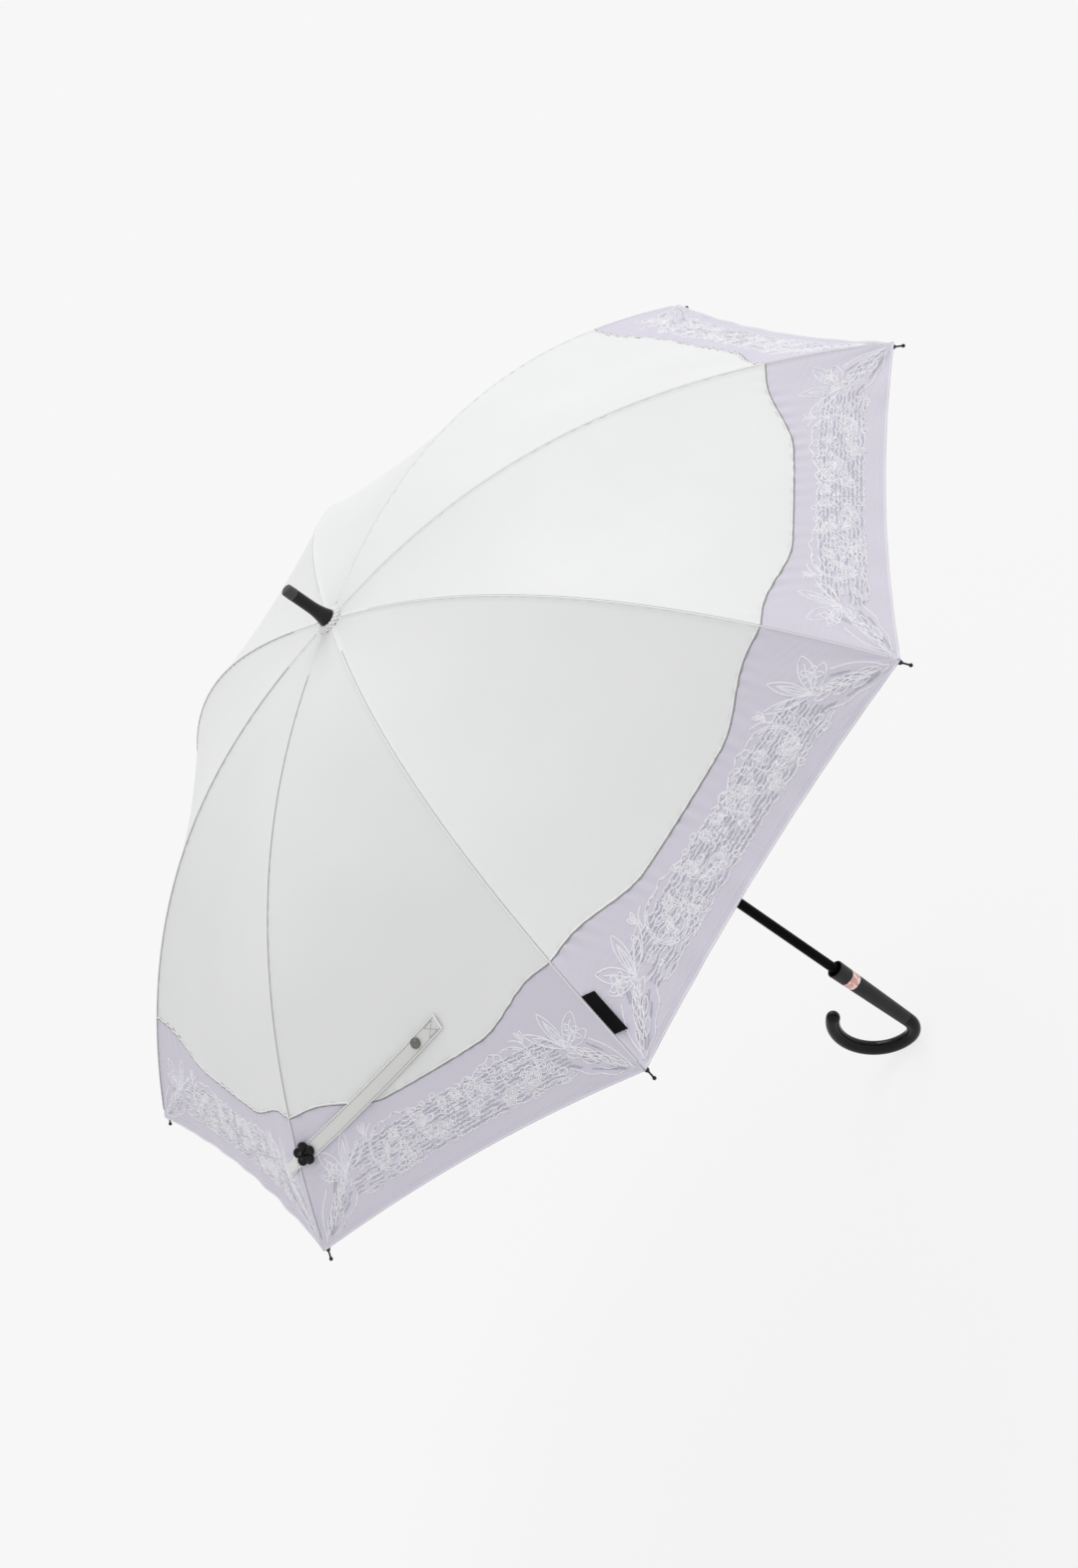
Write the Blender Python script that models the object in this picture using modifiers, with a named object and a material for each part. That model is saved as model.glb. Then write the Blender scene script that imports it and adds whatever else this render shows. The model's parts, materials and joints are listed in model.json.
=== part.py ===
"""Lace parasol with eight ribs: an open two-tone canopy on a folding frame, a slim shaft,
a ferrule with a gathered rosette, a tie strap and a J-shaped grip.

The shaft stands on the Z axis with the ferrule up, and z = 0 is the lowest point of the grip.
Rib number 1 points along +X and the others follow every 45 degrees, anticlockwise from above.
"""

import math

import bmesh
import bpy
from mathutils import Matrix, Vector

# Driving dimensions, in metres.
RIBS = 8
SECTOR = 2 * math.pi / RIBS
HALF = SECTOR / 2
CANOPY_RADIUS = 0.440
DOME_RISE = 0.197
DOME_POWER = 2.35
GORE_SAG = 0.02
HEM_RISE = 0.023
SEAM_AT_RIB = 0.830
SEAM_DROP = 0.032
CLOTH = 0.0006
EDGE_ROOM = 0.0006
GAP = 0.0003

SHAFT_R = 0.0044
GRIP_TOP_R = 0.0081
GRIP_LOW_R = 0.0063
HOOK_R = 0.0063
GRIP_BELOW_HEM = 0.381
GRIP_LENGTH = 0.0915
HOOK_STUB = 0.004
HOOK_AZIMUTH = math.radians(-19.4)
HOOK_ENTRY = (0.0174, math.radians(80))
HOOK_TURN = (0.0374, math.radians(150.5))

CROWN_RING_R = 0.0095
CROWN_R = 0.0125
CROWN_THICK = 0.005
RIB_R = 0.0013
RIB_DROP = 0.0030
CROWN_DROP = 0.0022
RIB_END = 0.990
STRETCHER_R = 0.0012
FORK_LENGTH = 0.013
FORK_WEB = 0.003
FORK_CHEEK = 0.0007
PIN_R = 0.00032
STRETCHER_AT = 0.45
STRETCHER_LENGTH = 0.246
RUNNER_RING_R = 0.0105
RUNNER_HEAD_R = 0.0135
RUNNER_SLEEVE_R = 0.0066
RUNNER_LENGTH = 0.044
WIRE_R = 0.00045
SLOT_HALF = 0.0011
BLADE_HALF = 0.0008
CATCH_AZIMUTH = math.radians(-67.5)

FERRULE_R = 0.0050
FERRULE_LENGTH = 0.0335
FLARE_R = 0.0075
FLARE_LENGTH = 0.0190
FERRULE_CAP_LENGTH = 0.0087
ROSETTE_R = 0.012
ROSETTE_THICK = 0.0026

# Places on the canopy's plan: radius in metres and azimuth in degrees.
STRAP_START = (0.3896, 41.1)
STRAP_OVER_RIB = (0.3896, 45.0)
STRAP_END = (0.3302, 71.8)
STRAP_CORNER = 0.010
STRAP_WIDTH = 0.0122
FLOWER_AT = (0.3837, 46.3)
SNAP_AT = (0.3333, 67.2)
LABEL_START = (0.3905, 90.8)
LABEL_END = (0.4165, 90.75)
LABEL_WIDTH = 0.0095
TRIM_LIFT = 0.0018


# ---------------------------------------------------------------- derived levels

def hook_drop():
    """How far the grip's lowest point lies under the start of its bend."""
    entry_r, entry_turn = HOOK_ENTRY
    turn_r = HOOK_TURN[0]
    drop = entry_r * math.sin(entry_turn) + turn_r * (1 - math.sin(entry_turn))
    return drop + HOOK_R


HEM_Z = GRIP_BELOW_HEM + GRIP_LENGTH + HOOK_STUB + hook_drop()
BEND_Z = hook_drop()
GRIP_TOP_Z = HEM_Z - GRIP_BELOW_HEM
GRIP_LOW_Z = GRIP_TOP_Z - GRIP_LENGTH
CROWN_Z = HEM_Z + DOME_RISE
CROWN_PIVOT_Z = CROWN_Z - RIB_DROP - CROWN_DROP


# ---------------------------------------------------------------- canopy surface

def dome_height(radius):
    return HEM_Z + DOME_RISE * (1 - (radius / CANOPY_RADIUS) ** DOME_POWER)


def dome_slope(radius):
    steepest = DOME_RISE * DOME_POWER / CANOPY_RADIUS
    return -steepest * (radius / CANOPY_RADIUS) ** (DOME_POWER - 1)


def slack(angle):
    """1 on a gore's mid line and 0 at the ribs; angle is measured from the mid line."""
    return max(0.0, 1 - (math.tan(angle) / math.tan(HALF)) ** 2)


def gore_point(along, angle):
    """A point of a gore's outer face. along is the radius of the rib point at its height."""
    radius = along * math.cos(HALF) / math.cos(angle)
    height = dome_height(along) - GORE_SAG * along * slack(angle)
    return Vector((radius * math.cos(angle), radius * math.sin(angle), height))


def canopy_height(x, y):
    """Height of the canopy's outer face over a point of the plan."""
    azimuth = math.atan2(y, x) % SECTOR - HALF
    along = math.hypot(x, y) * math.cos(azimuth) / math.cos(HALF)
    return dome_height(along) - GORE_SAG * along * slack(azimuth)


def canopy_normal(x, y, step=0.002):
    dx = canopy_height(x + step, y) - canopy_height(x - step, y)
    dy = canopy_height(x, y + step) - canopy_height(x, y - step)
    return Vector((-dx, -dy, 2 * step)).normalized()


def seam_radius(angle):
    """Rib radius of the scalloped seam: level by the ribs, lower across the middle."""
    t = min(1.0, max(0.0, (math.radians(20) - abs(angle)) / math.radians(12)))
    return CANOPY_RADIUS * (SEAM_AT_RIB + SEAM_DROP * t * t * (3 - 2 * t))


def hem_radius(angle):
    return CANOPY_RADIUS * (1 - HEM_RISE * slack(angle))


# ---------------------------------------------------------------- helpers

def clear_scene():
    for thing in list(bpy.data.objects):
        bpy.data.objects.remove(thing, do_unlink=True)


def new_collection(name):
    group = bpy.data.collections.new(name)
    bpy.context.scene.collection.children.link(group)
    return group


def make_material(name, colour, roughness, metallic=0.0):
    material = bpy.data.materials.new(name)
    material.use_nodes = True
    shader = material.node_tree.nodes["Principled BSDF"]
    shader.inputs["Base Color"].default_value = (*colour, 1.0)
    shader.inputs["Roughness"].default_value = roughness
    shader.inputs["Metallic"].default_value = metallic
    material.diffuse_color = (*colour, 1.0)
    return material


def baked(thing, *used):
    """The evaluated mesh of a working object, which is then removed with its helpers."""
    graph = bpy.context.evaluated_depsgraph_get()
    mesh = bpy.data.meshes.new_from_object(thing.evaluated_get(graph))
    mesh.transform(thing.matrix_world)
    work = bmesh.new()
    work.from_mesh(mesh)
    bmesh.ops.remove_doubles(work, verts=work.verts, dist=1e-6)
    work.to_mesh(mesh)
    work.free()
    for old in (thing, *used):
        bpy.data.objects.remove(old, do_unlink=True)
    return mesh


def working(name, data):
    thing = bpy.data.objects.new(name, data)
    bpy.context.scene.collection.objects.link(thing)
    return thing


def turned(profile, steps):
    """A solid of revolution about Z; the profile of (radius, z) points runs top to bottom."""
    mesh = bpy.data.meshes.new("profile")
    points = [(radius, 0.0, z) for radius, z in profile]
    mesh.from_pydata(points, [(i, i + 1) for i in range(len(points) - 1)], [])
    thing = working("turned", mesh)
    screw = thing.modifiers.new("Screw", "SCREW")
    screw.steps = screw.render_steps = steps
    screw.use_merge_vertices = True
    screw.merge_threshold = 1e-5
    bpy.context.view_layer.update()
    return baked(thing)


def turned_ring(profile, steps):
    """The same for a closed outline that doesn't touch the axis."""
    return turned([*profile, profile[0]], steps)


def tube(points, radii, sides_resolution):
    curve = bpy.data.curves.new("path", "CURVE")
    curve.dimensions = "3D"
    curve.bevel_depth = 1.0
    curve.bevel_resolution = sides_resolution
    curve.use_fill_caps = True
    spline = curve.splines.new("POLY")
    spline.points.add(len(points) - 1)
    for knot, point, radius in zip(spline.points, points, radii):
        knot.co = (*point, 1.0)
        knot.radius = radius
    thing = working("tube", curve)
    bpy.context.view_layer.update()
    return baked(thing)


def box(size, centre, turn=Matrix.Identity(4)):
    mesh = bpy.data.meshes.new("box")
    work = bmesh.new()
    bmesh.ops.create_cube(work, size=1.0)
    bmesh.ops.scale(work, vec=size, verts=work.verts)
    work.to_mesh(mesh)
    work.free()
    mesh.transform(turn @ Matrix.Translation(centre))
    return mesh


def cylinder(radius, length, sides, place):
    mesh = bpy.data.meshes.new("cylinder")
    work = bmesh.new()
    bmesh.ops.create_cone(
        work, cap_ends=True, segments=sides, radius1=radius, radius2=radius, depth=length
    )
    work.to_mesh(mesh)
    work.free()
    mesh.transform(place)
    return mesh


def plate(outline, thick, place):
    """A flat outline made into a plate of even thickness."""
    curve = bpy.data.curves.new("outline", "CURVE")
    curve.dimensions = "2D"
    curve.fill_mode = "BOTH"
    curve.extrude = thick / 2
    spline = curve.splines.new("POLY")
    spline.points.add(len(outline) - 1)
    for knot, (x, y) in zip(spline.points, outline):
        knot.co = (x, y, 0, 1)
    spline.use_cyclic_u = True
    thing = working("plate", curve)
    thing.matrix_world = place
    bpy.context.view_layer.update()
    return baked(thing)


def torus(ring_radius, wire_radius, ring_steps, wire_steps, height):
    bpy.ops.mesh.primitive_torus_add(
        major_radius=ring_radius,
        minor_radius=wire_radius,
        major_segments=ring_steps,
        minor_segments=wire_steps,
        location=(0, 0, height),
    )
    thing = bpy.context.object
    mesh = thing.data.copy()
    mesh.transform(thing.matrix_world)
    bpy.data.objects.remove(thing, do_unlink=True)
    return mesh


def combined(mesh, other, operation):
    """Boolean of two meshes with the exact solver."""
    thing, tool = working("base", mesh), working("tool", other)
    step = thing.modifiers.new("Boolean", "BOOLEAN")
    step.operation = operation
    step.solver = "EXACT"
    step.object = tool
    bpy.context.view_layer.update()
    return baked(thing, tool)


def joined(mesh, *others):
    for other in others:
        mesh = combined(mesh, other, "UNION")
    return mesh


def cut(mesh, *others):
    for other in others:
        mesh = combined(mesh, other, "DIFFERENCE")
    return mesh


def across(x, z):
    """Places a cylinder crosswise to a rib's plane, at a point of that plane."""
    return Matrix.Translation((x, 0, z)) @ Matrix.Rotation(math.pi / 2, 4, "X")


def sheet(point_at, columns, rows, thickness):
    """A thin shell: point_at(u, v) gives its outer face for u in -1..1 and v in 0..1."""
    mesh = bpy.data.meshes.new("sheet")
    work = bmesh.new()
    bmesh.ops.create_grid(work, x_segments=columns, y_segments=rows, size=1.0)
    for vertex in work.verts:
        vertex.co = point_at(vertex.co.x, (vertex.co.y + 1) / 2)
    bmesh.ops.recalc_face_normals(work, faces=work.faces)
    if sum(face.normal.z for face in work.faces) < 0:
        bmesh.ops.reverse_faces(work, faces=work.faces)
    work.to_mesh(mesh)
    work.free()
    thing = working("sheet", mesh)
    shell = thing.modifiers.new("Solidify", "SOLIDIFY")
    shell.thickness = thickness
    shell.offset = -1.0
    shell.use_even_offset = True
    bpy.context.view_layer.update()
    return baked(thing)


def finish(name, mesh, material, smooth=True):
    """Puts a finished mesh in the model as its own object."""
    thing = bpy.data.objects.new(name, mesh)
    PARTS.objects.link(thing)
    mesh.materials.clear()
    mesh.materials.append(material)
    if smooth:
        mesh.shade_smooth()
        mesh.set_sharp_from_angle(angle=math.radians(35))
    return thing


def hinge(name, place, parent=None):
    """An empty on a joint's axis; what turns with the joint is parented to it."""
    empty = bpy.data.objects.new(name, None)
    empty.empty_display_size = 0.01
    PARTS.objects.link(empty)
    empty.parent = parent
    empty.matrix_world = place
    return empty


def hang(thing, empty, place):
    """Parents an object to an empty, with its mesh's own axes kept at a world place."""
    thing.parent = empty
    thing.matrix_parent_inverse = empty.matrix_world.inverted()
    thing.matrix_basis = place


# ---------------------------------------------------------------- ribs and stretchers

def rib_centre(radius):
    """Height of a rib's centre line: under the cloth, and lower still by the crown."""
    t = min(1.0, max(0.0, (radius - CROWN_RING_R) / 0.06))
    drop = RIB_DROP + CROWN_DROP * (1 - t * t * (3 - 2 * t))
    return dome_height(radius) - drop * math.hypot(1, dome_slope(radius))


def rib_mesh():
    start, end = CROWN_RING_R + 0.0045, RIB_END * CANOPY_RADIUS
    steps = 18
    radii = [start + (end - start) * i / steps for i in range(steps + 1)]
    points = [(r, 0, rib_centre(r)) for r in radii]
    rod = tube(points, [RIB_R] * len(points), 2)
    outline = [(0.0073, 0.0009), (0.0073, -0.0009)]
    for i in range(9):
        angle = math.radians(-30 - 300 * i / 8)
        outline.append((0.0020 * math.cos(angle), 0.0020 * math.sin(angle)))
    eye = plate(outline, 2 * BLADE_HALF, across(CROWN_RING_R, CROWN_PIVOT_Z))
    hole = cylinder(WIRE_R + GAP, 0.01, 10, across(CROWN_RING_R, CROWN_PIVOT_Z))
    joint = STRETCHER_AT * CANOPY_RADIUS
    pin_hole = cylinder(0.00062, 0.01, 8, across(joint, rib_centre(joint)))
    return cut(joined(rod, eye), hole, pin_hole)


def stretcher_pivot():
    joint = STRETCHER_AT * CANOPY_RADIUS
    return Vector((joint, 0, rib_centre(joint)))


def runner_pivot():
    """Where the stretchers meet the runner, with the frame open."""
    top = stretcher_pivot()
    reach = top.x - RUNNER_RING_R
    return Vector((RUNNER_RING_R, 0, top.z - math.sqrt(STRETCHER_LENGTH**2 - reach**2)))


def stretcher_mesh():
    """A rod with a fork and a pin at the rib, and a flat blade that ends at the runner's ring."""
    top, low = stretcher_pivot(), runner_pivot()
    way = (low - top).normalized()
    lean = math.atan2(-way.z, -way.x)
    turn = Matrix.Translation(top) @ Matrix.Rotation(-lean, 4, "Y")
    # In the fork's own axes the rod runs along -X from the pin at the origin.
    inner, cheek = RIB_R + GAP, FORK_CHEEK
    rod = tube([top + way * (FORK_LENGTH + 0.0006), low - way * 0.0040], [STRETCHER_R] * 2, 2)
    parts = [box((FORK_WEB, 2 * (inner + cheek) + 0.0002, FORK_WEB), (-FORK_LENGTH, 0, 0), turn)]
    outline = [(-FORK_LENGTH, 0.0013), (-FORK_LENGTH, -0.0013)]
    for i in range(7):
        angle = math.pi * (i / 6 - 0.5)
        outline.append((0.0013 * math.cos(angle), 0.0013 * math.sin(angle)))
    for side in (-1, 1):
        upright = across(0, 0)
        upright.translation.y = side * (inner + cheek / 2)
        parts.append(plate(outline, cheek, turn @ upright))
    pin = cylinder(PIN_R, 2 * inner + cheek, 8, turn @ across(0, 0))
    tip = STRETCHER_LENGTH - WIRE_R - GAP
    blade = box((0.0060, 2 * BLADE_HALF, 0.0020), (-tip + 0.0030, 0, 0), turn)
    return joined(rod, *parts, pin, blade)


def rib_tip_mesh():
    """Turned end piece: a socket, a thin neck and a ball, on the line of the rib's end."""
    profile = [
        (0.0, 0.0120), (0.0010, 0.0116), (0.0015, 0.0105), (0.0010, 0.0094), (0.0007, 0.0088),
        (0.0008, 0.0045), (0.0017, 0.0036), (0.0019, 0.0), (0.0, 0.0),
    ]
    mesh = turned(profile, 10)
    end = RIB_END * CANOPY_RADIUS
    slope = dome_slope(end)
    way = Vector((1, 0, slope)).normalized()
    place = Vector((end, 0, rib_centre(end))) + way * GAP
    mesh.transform(Matrix.Translation(place) @ way.to_track_quat("Z", "Y").to_matrix().to_4x4())
    return mesh


def build_frame(steel, plastic):
    ribs, stretchers, tips = rib_mesh(), stretcher_mesh(), rib_tip_mesh()
    pivot = Vector((CROWN_RING_R, 0, CROWN_PIVOT_Z))
    for mesh, origin in ((ribs, pivot), (tips, pivot), (stretchers, stretcher_pivot())):
        mesh.transform(Matrix.Translation(-origin))
    for k in range(RIBS):
        spin = Matrix.Rotation(k * SECTOR, 4, "Z")
        at_crown = spin @ Matrix.Translation(pivot)
        at_rib = spin @ Matrix.Translation(stretcher_pivot())
        rib_hinge = hinge(f"rib_hinge_{k + 1}", at_crown)
        stretcher_hinge = hinge(f"stretcher_hinge_{k + 1}", at_rib, rib_hinge)
        hang(finish(f"rib_{k + 1}", ribs, steel), rib_hinge, at_crown)
        hang(finish(f"rib_tip_{k + 1}", tips, plastic), rib_hinge, at_crown)
        hang(finish(f"stretcher_{k + 1}", stretchers, steel), stretcher_hinge, at_rib)


# ---------------------------------------------------------------- hubs

def slotted_disc(radius, ring_radius, thick, height, inner_slot):
    """A disc with a radial slot for each rib and a channel for the ring of wire."""
    outline = [
        (radius - 0.0006, thick / 2), (radius, thick / 2 - 0.0006),
        (radius, -thick / 2 + 0.0006), (radius - 0.0006, -thick / 2),
        (SHAFT_R + GAP, -thick / 2), (SHAFT_R + GAP, thick / 2),
    ]
    disc = turned_ring([(r, height + z) for r, z in outline], 32)
    channel = torus(ring_radius, WIRE_R + GAP, 32, 8, height)
    length = radius - inner_slot + 0.002
    slots = [
        box(
            (length, 2 * SLOT_HALF, 2 * thick),
            (inner_slot + length / 2, 0, height),
            Matrix.Rotation(k * SECTOR, 4, "Z"),
        )
        for k in range(RIBS)
    ]
    return cut(disc, channel, *slots)


def runner_mesh():
    """Sleeve, slotted head and thumb flange, with a keyway that passes over both catches."""
    z = runner_pivot().z
    bore, sleeve, low = SHAFT_R + GAP, RUNNER_SLEEVE_R, z - RUNNER_LENGTH
    head = slotted_disc(RUNNER_HEAD_R, RUNNER_RING_R, 0.005, z, 0.0076)
    outline = [
        (bore, z + 0.0025), (sleeve - 0.0004, z + 0.0024), (sleeve, z - 0.0060), (sleeve, low + 0.0060),
        (sleeve + 0.0022, low + 0.0030), (sleeve + 0.0030, low + 0.0012),
        (sleeve + 0.0026, low), (bore, low),
    ]
    sleeve_mesh = turned_ring(outline, 32)
    keyway = box(
        (0.0072, 0.0026, 0.2),
        (0.0036, 0, z),
        Matrix.Rotation(CATCH_AZIMUTH, 4, "Z"),
    )
    return cut(joined(head, sleeve_mesh), keyway)


def build_hubs(plastic, steel):
    disc = slotted_disc(CROWN_R, CROWN_RING_R, CROWN_THICK, CROWN_PIVOT_Z, 0.0066)
    finish("crown_notch", disc, plastic)
    finish("crown_wire", torus(CROWN_RING_R, WIRE_R, 32, 6, CROWN_PIVOT_Z), steel)
    finish("runner", runner_mesh(), plastic)
    z = runner_pivot().z
    finish("runner_wire", torus(RUNNER_RING_R, WIRE_R, 32, 6, z), steel)
    bore, centre = SHAFT_R + GAP, z + 0.0045
    finish("stop_ring", turned_ring([
        (0.0058, centre + 0.0015), (0.0062, centre), (0.0058, centre - 0.0015),
        (bore, centre - 0.0015), (bore, centre + 0.0015),
    ], 24), steel)


# ---------------------------------------------------------------- shaft, catches, ferrule

def catch_place(height):
    return Matrix.Rotation(CATCH_AZIMUTH, 4, "Z") @ Matrix.Translation((0, 0, height))


def shaft_mesh(catch_heights):
    top = CROWN_Z + ROSETTE_THICK + 0.018
    low = GRIP_LOW_Z + 0.030
    rod = turned([(0, top), (SHAFT_R - 0.0004, top), (SHAFT_R, top - 0.0004), (SHAFT_R, low), (0, low)], 24)
    pockets = [
        box((0.0080, 0.0022, 0.0300), (0.0032, 0, -0.0135), catch_place(height))
        for height in catch_heights
    ]
    return cut(rod, *pockets)


def catch_mesh(height):
    """A leaf in the shaft's pocket, hinged at its upper end, with a sloping nose."""
    outline = [
        (0.0012, 0.0), (0.0026, 0.0), (0.0032, -0.0120), (0.0060, -0.0190),
        (0.0060, -0.0215), (0.0030, -0.0225), (0.0012, -0.0225),
    ]
    return plate(outline, 0.0016, catch_place(height) @ Matrix.Rotation(math.pi / 2, 4, "X"))


def build_shaft(painted, steel, plastic, cap_paint, satin):
    top_catch = runner_pivot().z - RUNNER_LENGTH - 0.004
    low_catch = top_catch - 0.2420
    finish("shaft", shaft_mesh((top_catch, low_catch)), painted)
    for name, height in (("top_catch", top_catch), ("lower_catch", low_catch)):
        mesh = catch_mesh(height)
        place = catch_place(height) @ Matrix.Translation((0.0019, 0, -0.0008))
        mesh.transform(place.inverted())
        empty = hinge(f"{name}_hinge", place)
        hang(finish(name, mesh, steel, smooth=False), empty, place)
    base = CROWN_Z + ROSETTE_THICK + GAP
    tip = base + FERRULE_LENGTH
    bore = SHAFT_R + GAP
    flare = []
    for i in range(7):
        t = i / 6
        radius = FERRULE_R + (FLARE_R - FERRULE_R) * t**2.3
        flare.append((radius, base + 0.0010 + (FLARE_LENGTH - 0.0010) * (1 - t)))
    finish("ferrule", turned_ring([
        (FERRULE_R - 0.0004, tip), (FERRULE_R, tip - 0.0004), *flare, (FLARE_R - 0.0002, base),
        (bore, base), (bore, base + 0.0185), (0.0022, base + 0.0205), (0.0016, tip),
    ], 24), plastic)
    low = tip + GAP
    high = low + FERRULE_CAP_LENGTH
    finish("ferrule_cap", turned([
        (0, high), (FERRULE_R - 0.0009, high), (FERRULE_R - 0.0001, high - 0.0007),
        (FERRULE_R + 0.0001, low), (0, low),
    ], 24), cap_paint)
    build_rosette(satin)


def build_rosette(satin):
    """A gathered disc of cloth: its rim is wavy and its folds rise towards the ferrule."""
    folds, low, high = 14, CROWN_Z + GAP, CROWN_Z + ROSETTE_THICK
    mesh = turned_ring([
        (SHAFT_R + 0.004, high), (ROSETTE_R - 0.002, high - 0.0008), (ROSETTE_R, high - 0.0016),
        (ROSETTE_R - 0.001, low + 0.0003), (SHAFT_R + GAP, low), (SHAFT_R + GAP, high),
    ], 4 * folds)
    for vertex in mesh.vertices:
        angle = math.atan2(vertex.co.y, vertex.co.x)
        reach = math.hypot(vertex.co.x, vertex.co.y) / ROSETTE_R
        stretch = 1 + 0.05 * reach**2 * math.cos(folds * angle)
        vertex.co.x *= stretch
        vertex.co.y *= stretch
    finish("rosette", mesh, satin)


# ---------------------------------------------------------------- grip

def hook_path():
    """Centre line of the hook in the plane of its bend, as (outward, height)."""
    points = [(0.0, GRIP_LOW_Z - GAP)]
    x, z, heading = 0.0, BEND_Z, 0.0
    for radius, sweep in (HOOK_ENTRY, HOOK_TURN):
        steps = max(6, round(sweep / math.radians(8)))
        for _ in range(steps):
            heading += sweep / steps / 2
            step = 2 * radius * math.sin(sweep / steps / 2)
            x, z = x + step * math.sin(heading), z - step * math.cos(heading)
            heading += sweep / steps / 2
            points.append((x, z))
    return points


def build_grip(satin, gloss, print_band):
    """The tapering sleeve with its cup, a plain printed band and the hook."""
    taper = (GRIP_TOP_R - GRIP_LOW_R) / GRIP_LENGTH
    bore, cup = SHAFT_R + GAP, GRIP_TOP_R - 0.0010
    top, low = GRIP_TOP_Z, GRIP_LOW_Z
    socket = low + 0.030 - GAP
    groove = (top - 0.0145, top - 0.0250)

    def outer(z):
        return GRIP_LOW_R + taper * (z - low)

    finish("grip_sleeve", turned([
        (0, socket), (bore, socket), (bore, top - 0.0110), (cup, top - 0.0085), (cup, top),
        (GRIP_TOP_R - 0.0003, top), (GRIP_TOP_R, top - 0.0004),
        (outer(groove[0]), groove[0]), (outer(groove[0]) - 0.0006, groove[0]),
        (outer(groove[1]) - 0.0006, groove[1]), (outer(groove[1]), groove[1]),
        (outer(low), low + 0.0004), (outer(low) - 0.0004, low), (0, low),
    ], 28), satin)
    high, deep = groove[0] - GAP, groove[1] + GAP
    inset = 0.0006 - GAP
    finish("grip_band", turned_ring([
        (outer(high), high), (outer(deep), deep), (outer(deep) - inset, deep), (outer(high) - inset, high),
    ], 28), print_band)

    path = hook_path()
    turn = Matrix.Rotation(HOOK_AZIMUTH, 4, "Z")
    points = [turn @ Vector((x, 0, z)) for x, z in path]
    radii = [HOOK_R] * len(points)
    last = points[-1]
    way = (last - points[-2]).normalized()
    for part in (0.45, 0.8, 0.96):
        points.append(last + way * HOOK_R * part)
        radii.append(HOOK_R * math.sqrt(1 - part * part))
    finish("hook", tube(points, radii, 4), gloss)


# ---------------------------------------------------------------- canopy

def edge_angle(along):
    """Half a gore's angle, less the room that the cloth's leaning edge needs at the rib."""
    return HALF - math.asin(EDGE_ROOM / along)


def build_canopy(white, lavender):
    inner = SHAFT_R + 0.0022

    def panel_at(u, v):
        angle = u * HALF
        along = inner + (seam_radius(angle) - EDGE_ROOM - inner) * v
        return gore_point(along, u * edge_angle(along))

    def border_at(u, v):
        angle = u * HALF
        start = seam_radius(angle) + EDGE_ROOM
        along = start + (hem_radius(angle) - start) * v
        return gore_point(along, u * edge_angle(along))

    panel, border = sheet(panel_at, 10, 8, CLOTH), sheet(border_at, 10, 2, CLOTH)
    pivot = Vector((CROWN_RING_R, 0, CROWN_PIVOT_Z))
    for k in range(RIBS):
        middle = Matrix.Rotation((k + 0.5) * SECTOR, 4, "Z")
        for name, mesh, material, at_rib in (("panel", panel, white, k), ("border", border, lavender, k + 1)):
            place = Matrix.Rotation(at_rib * SECTOR, 4, "Z") @ Matrix.Translation(pivot)
            empty = hinge(f"{name}_fold_{k + 1}", place)
            hang(finish(f"{name}_{k + 1}", mesh, material), empty, middle)


# ---------------------------------------------------------------- strap, buttons and label

def plan_point(radius, degrees):
    angle = math.radians(degrees)
    return Vector((radius * math.cos(angle), radius * math.sin(angle)))


def on_canopy(radius, degrees, lift):
    """A place on the canopy with Z along its normal and X pointing away from the shaft."""
    x, y = plan_point(radius, degrees)
    normal = canopy_normal(x, y)
    outward = Vector((x, y, 0)).normalized()
    outward = (outward - normal * outward.dot(normal)).normalized()
    side = normal.cross(outward)
    place = Vector((x, y, canopy_height(x, y))) + normal * lift
    axes = Matrix((outward, side, normal)).transposed().to_4x4()
    return Matrix.Translation(place) @ axes


def slope_along(plan, way, step=0.002):
    """Length over the cloth for each metre of the plan, in one direction."""
    ahead, behind = plan + way * step, plan - way * step
    return math.hypot(1, (canopy_height(*ahead) - canopy_height(*behind)) / (2 * step))


def straight_path(from_place, to_place):
    """A plan point and a direction for each share of a straight line."""
    start, end = plan_point(*from_place), plan_point(*to_place)
    return lambda v: (start + (end - start) * v, (end - start).normalized())


def strap_path(v):
    """Two straight runs that meet over the rib in a rounded corner."""
    start, knee, end = (plan_point(*place) for place in (STRAP_START, STRAP_OVER_RIB, STRAP_END))
    before, after = (knee - start).normalized(), (end - knee).normalized()
    past_knee = v * ((knee - start).length + (end - knee).length) - (knee - start).length
    t = min(1, max(0, (past_knee + STRAP_CORNER) / (2 * STRAP_CORNER)))
    if 0 < t < 1:
        plan = knee + (after * t**2 - before * (1 - t) ** 2) * STRAP_CORNER
    else:
        plan = knee + (before * (1 - t) + after * t) * past_knee
    return plan, (before * (1 - t) + after * t).normalized()


def ribbon(path, width, columns):
    """A flat strip that follows the canopy along a path on its plan."""

    def point_at(u, v):
        middle, way = path(v)
        side = Vector((-way.y, way.x))
        plan = middle + side * (u * width / 2 / slope_along(middle, side))
        normal = canopy_normal(plan.x, plan.y)
        return Vector((plan.x, plan.y, canopy_height(plan.x, plan.y))) + normal * TRIM_LIFT

    return sheet(point_at, 2, columns, CLOTH)


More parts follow.
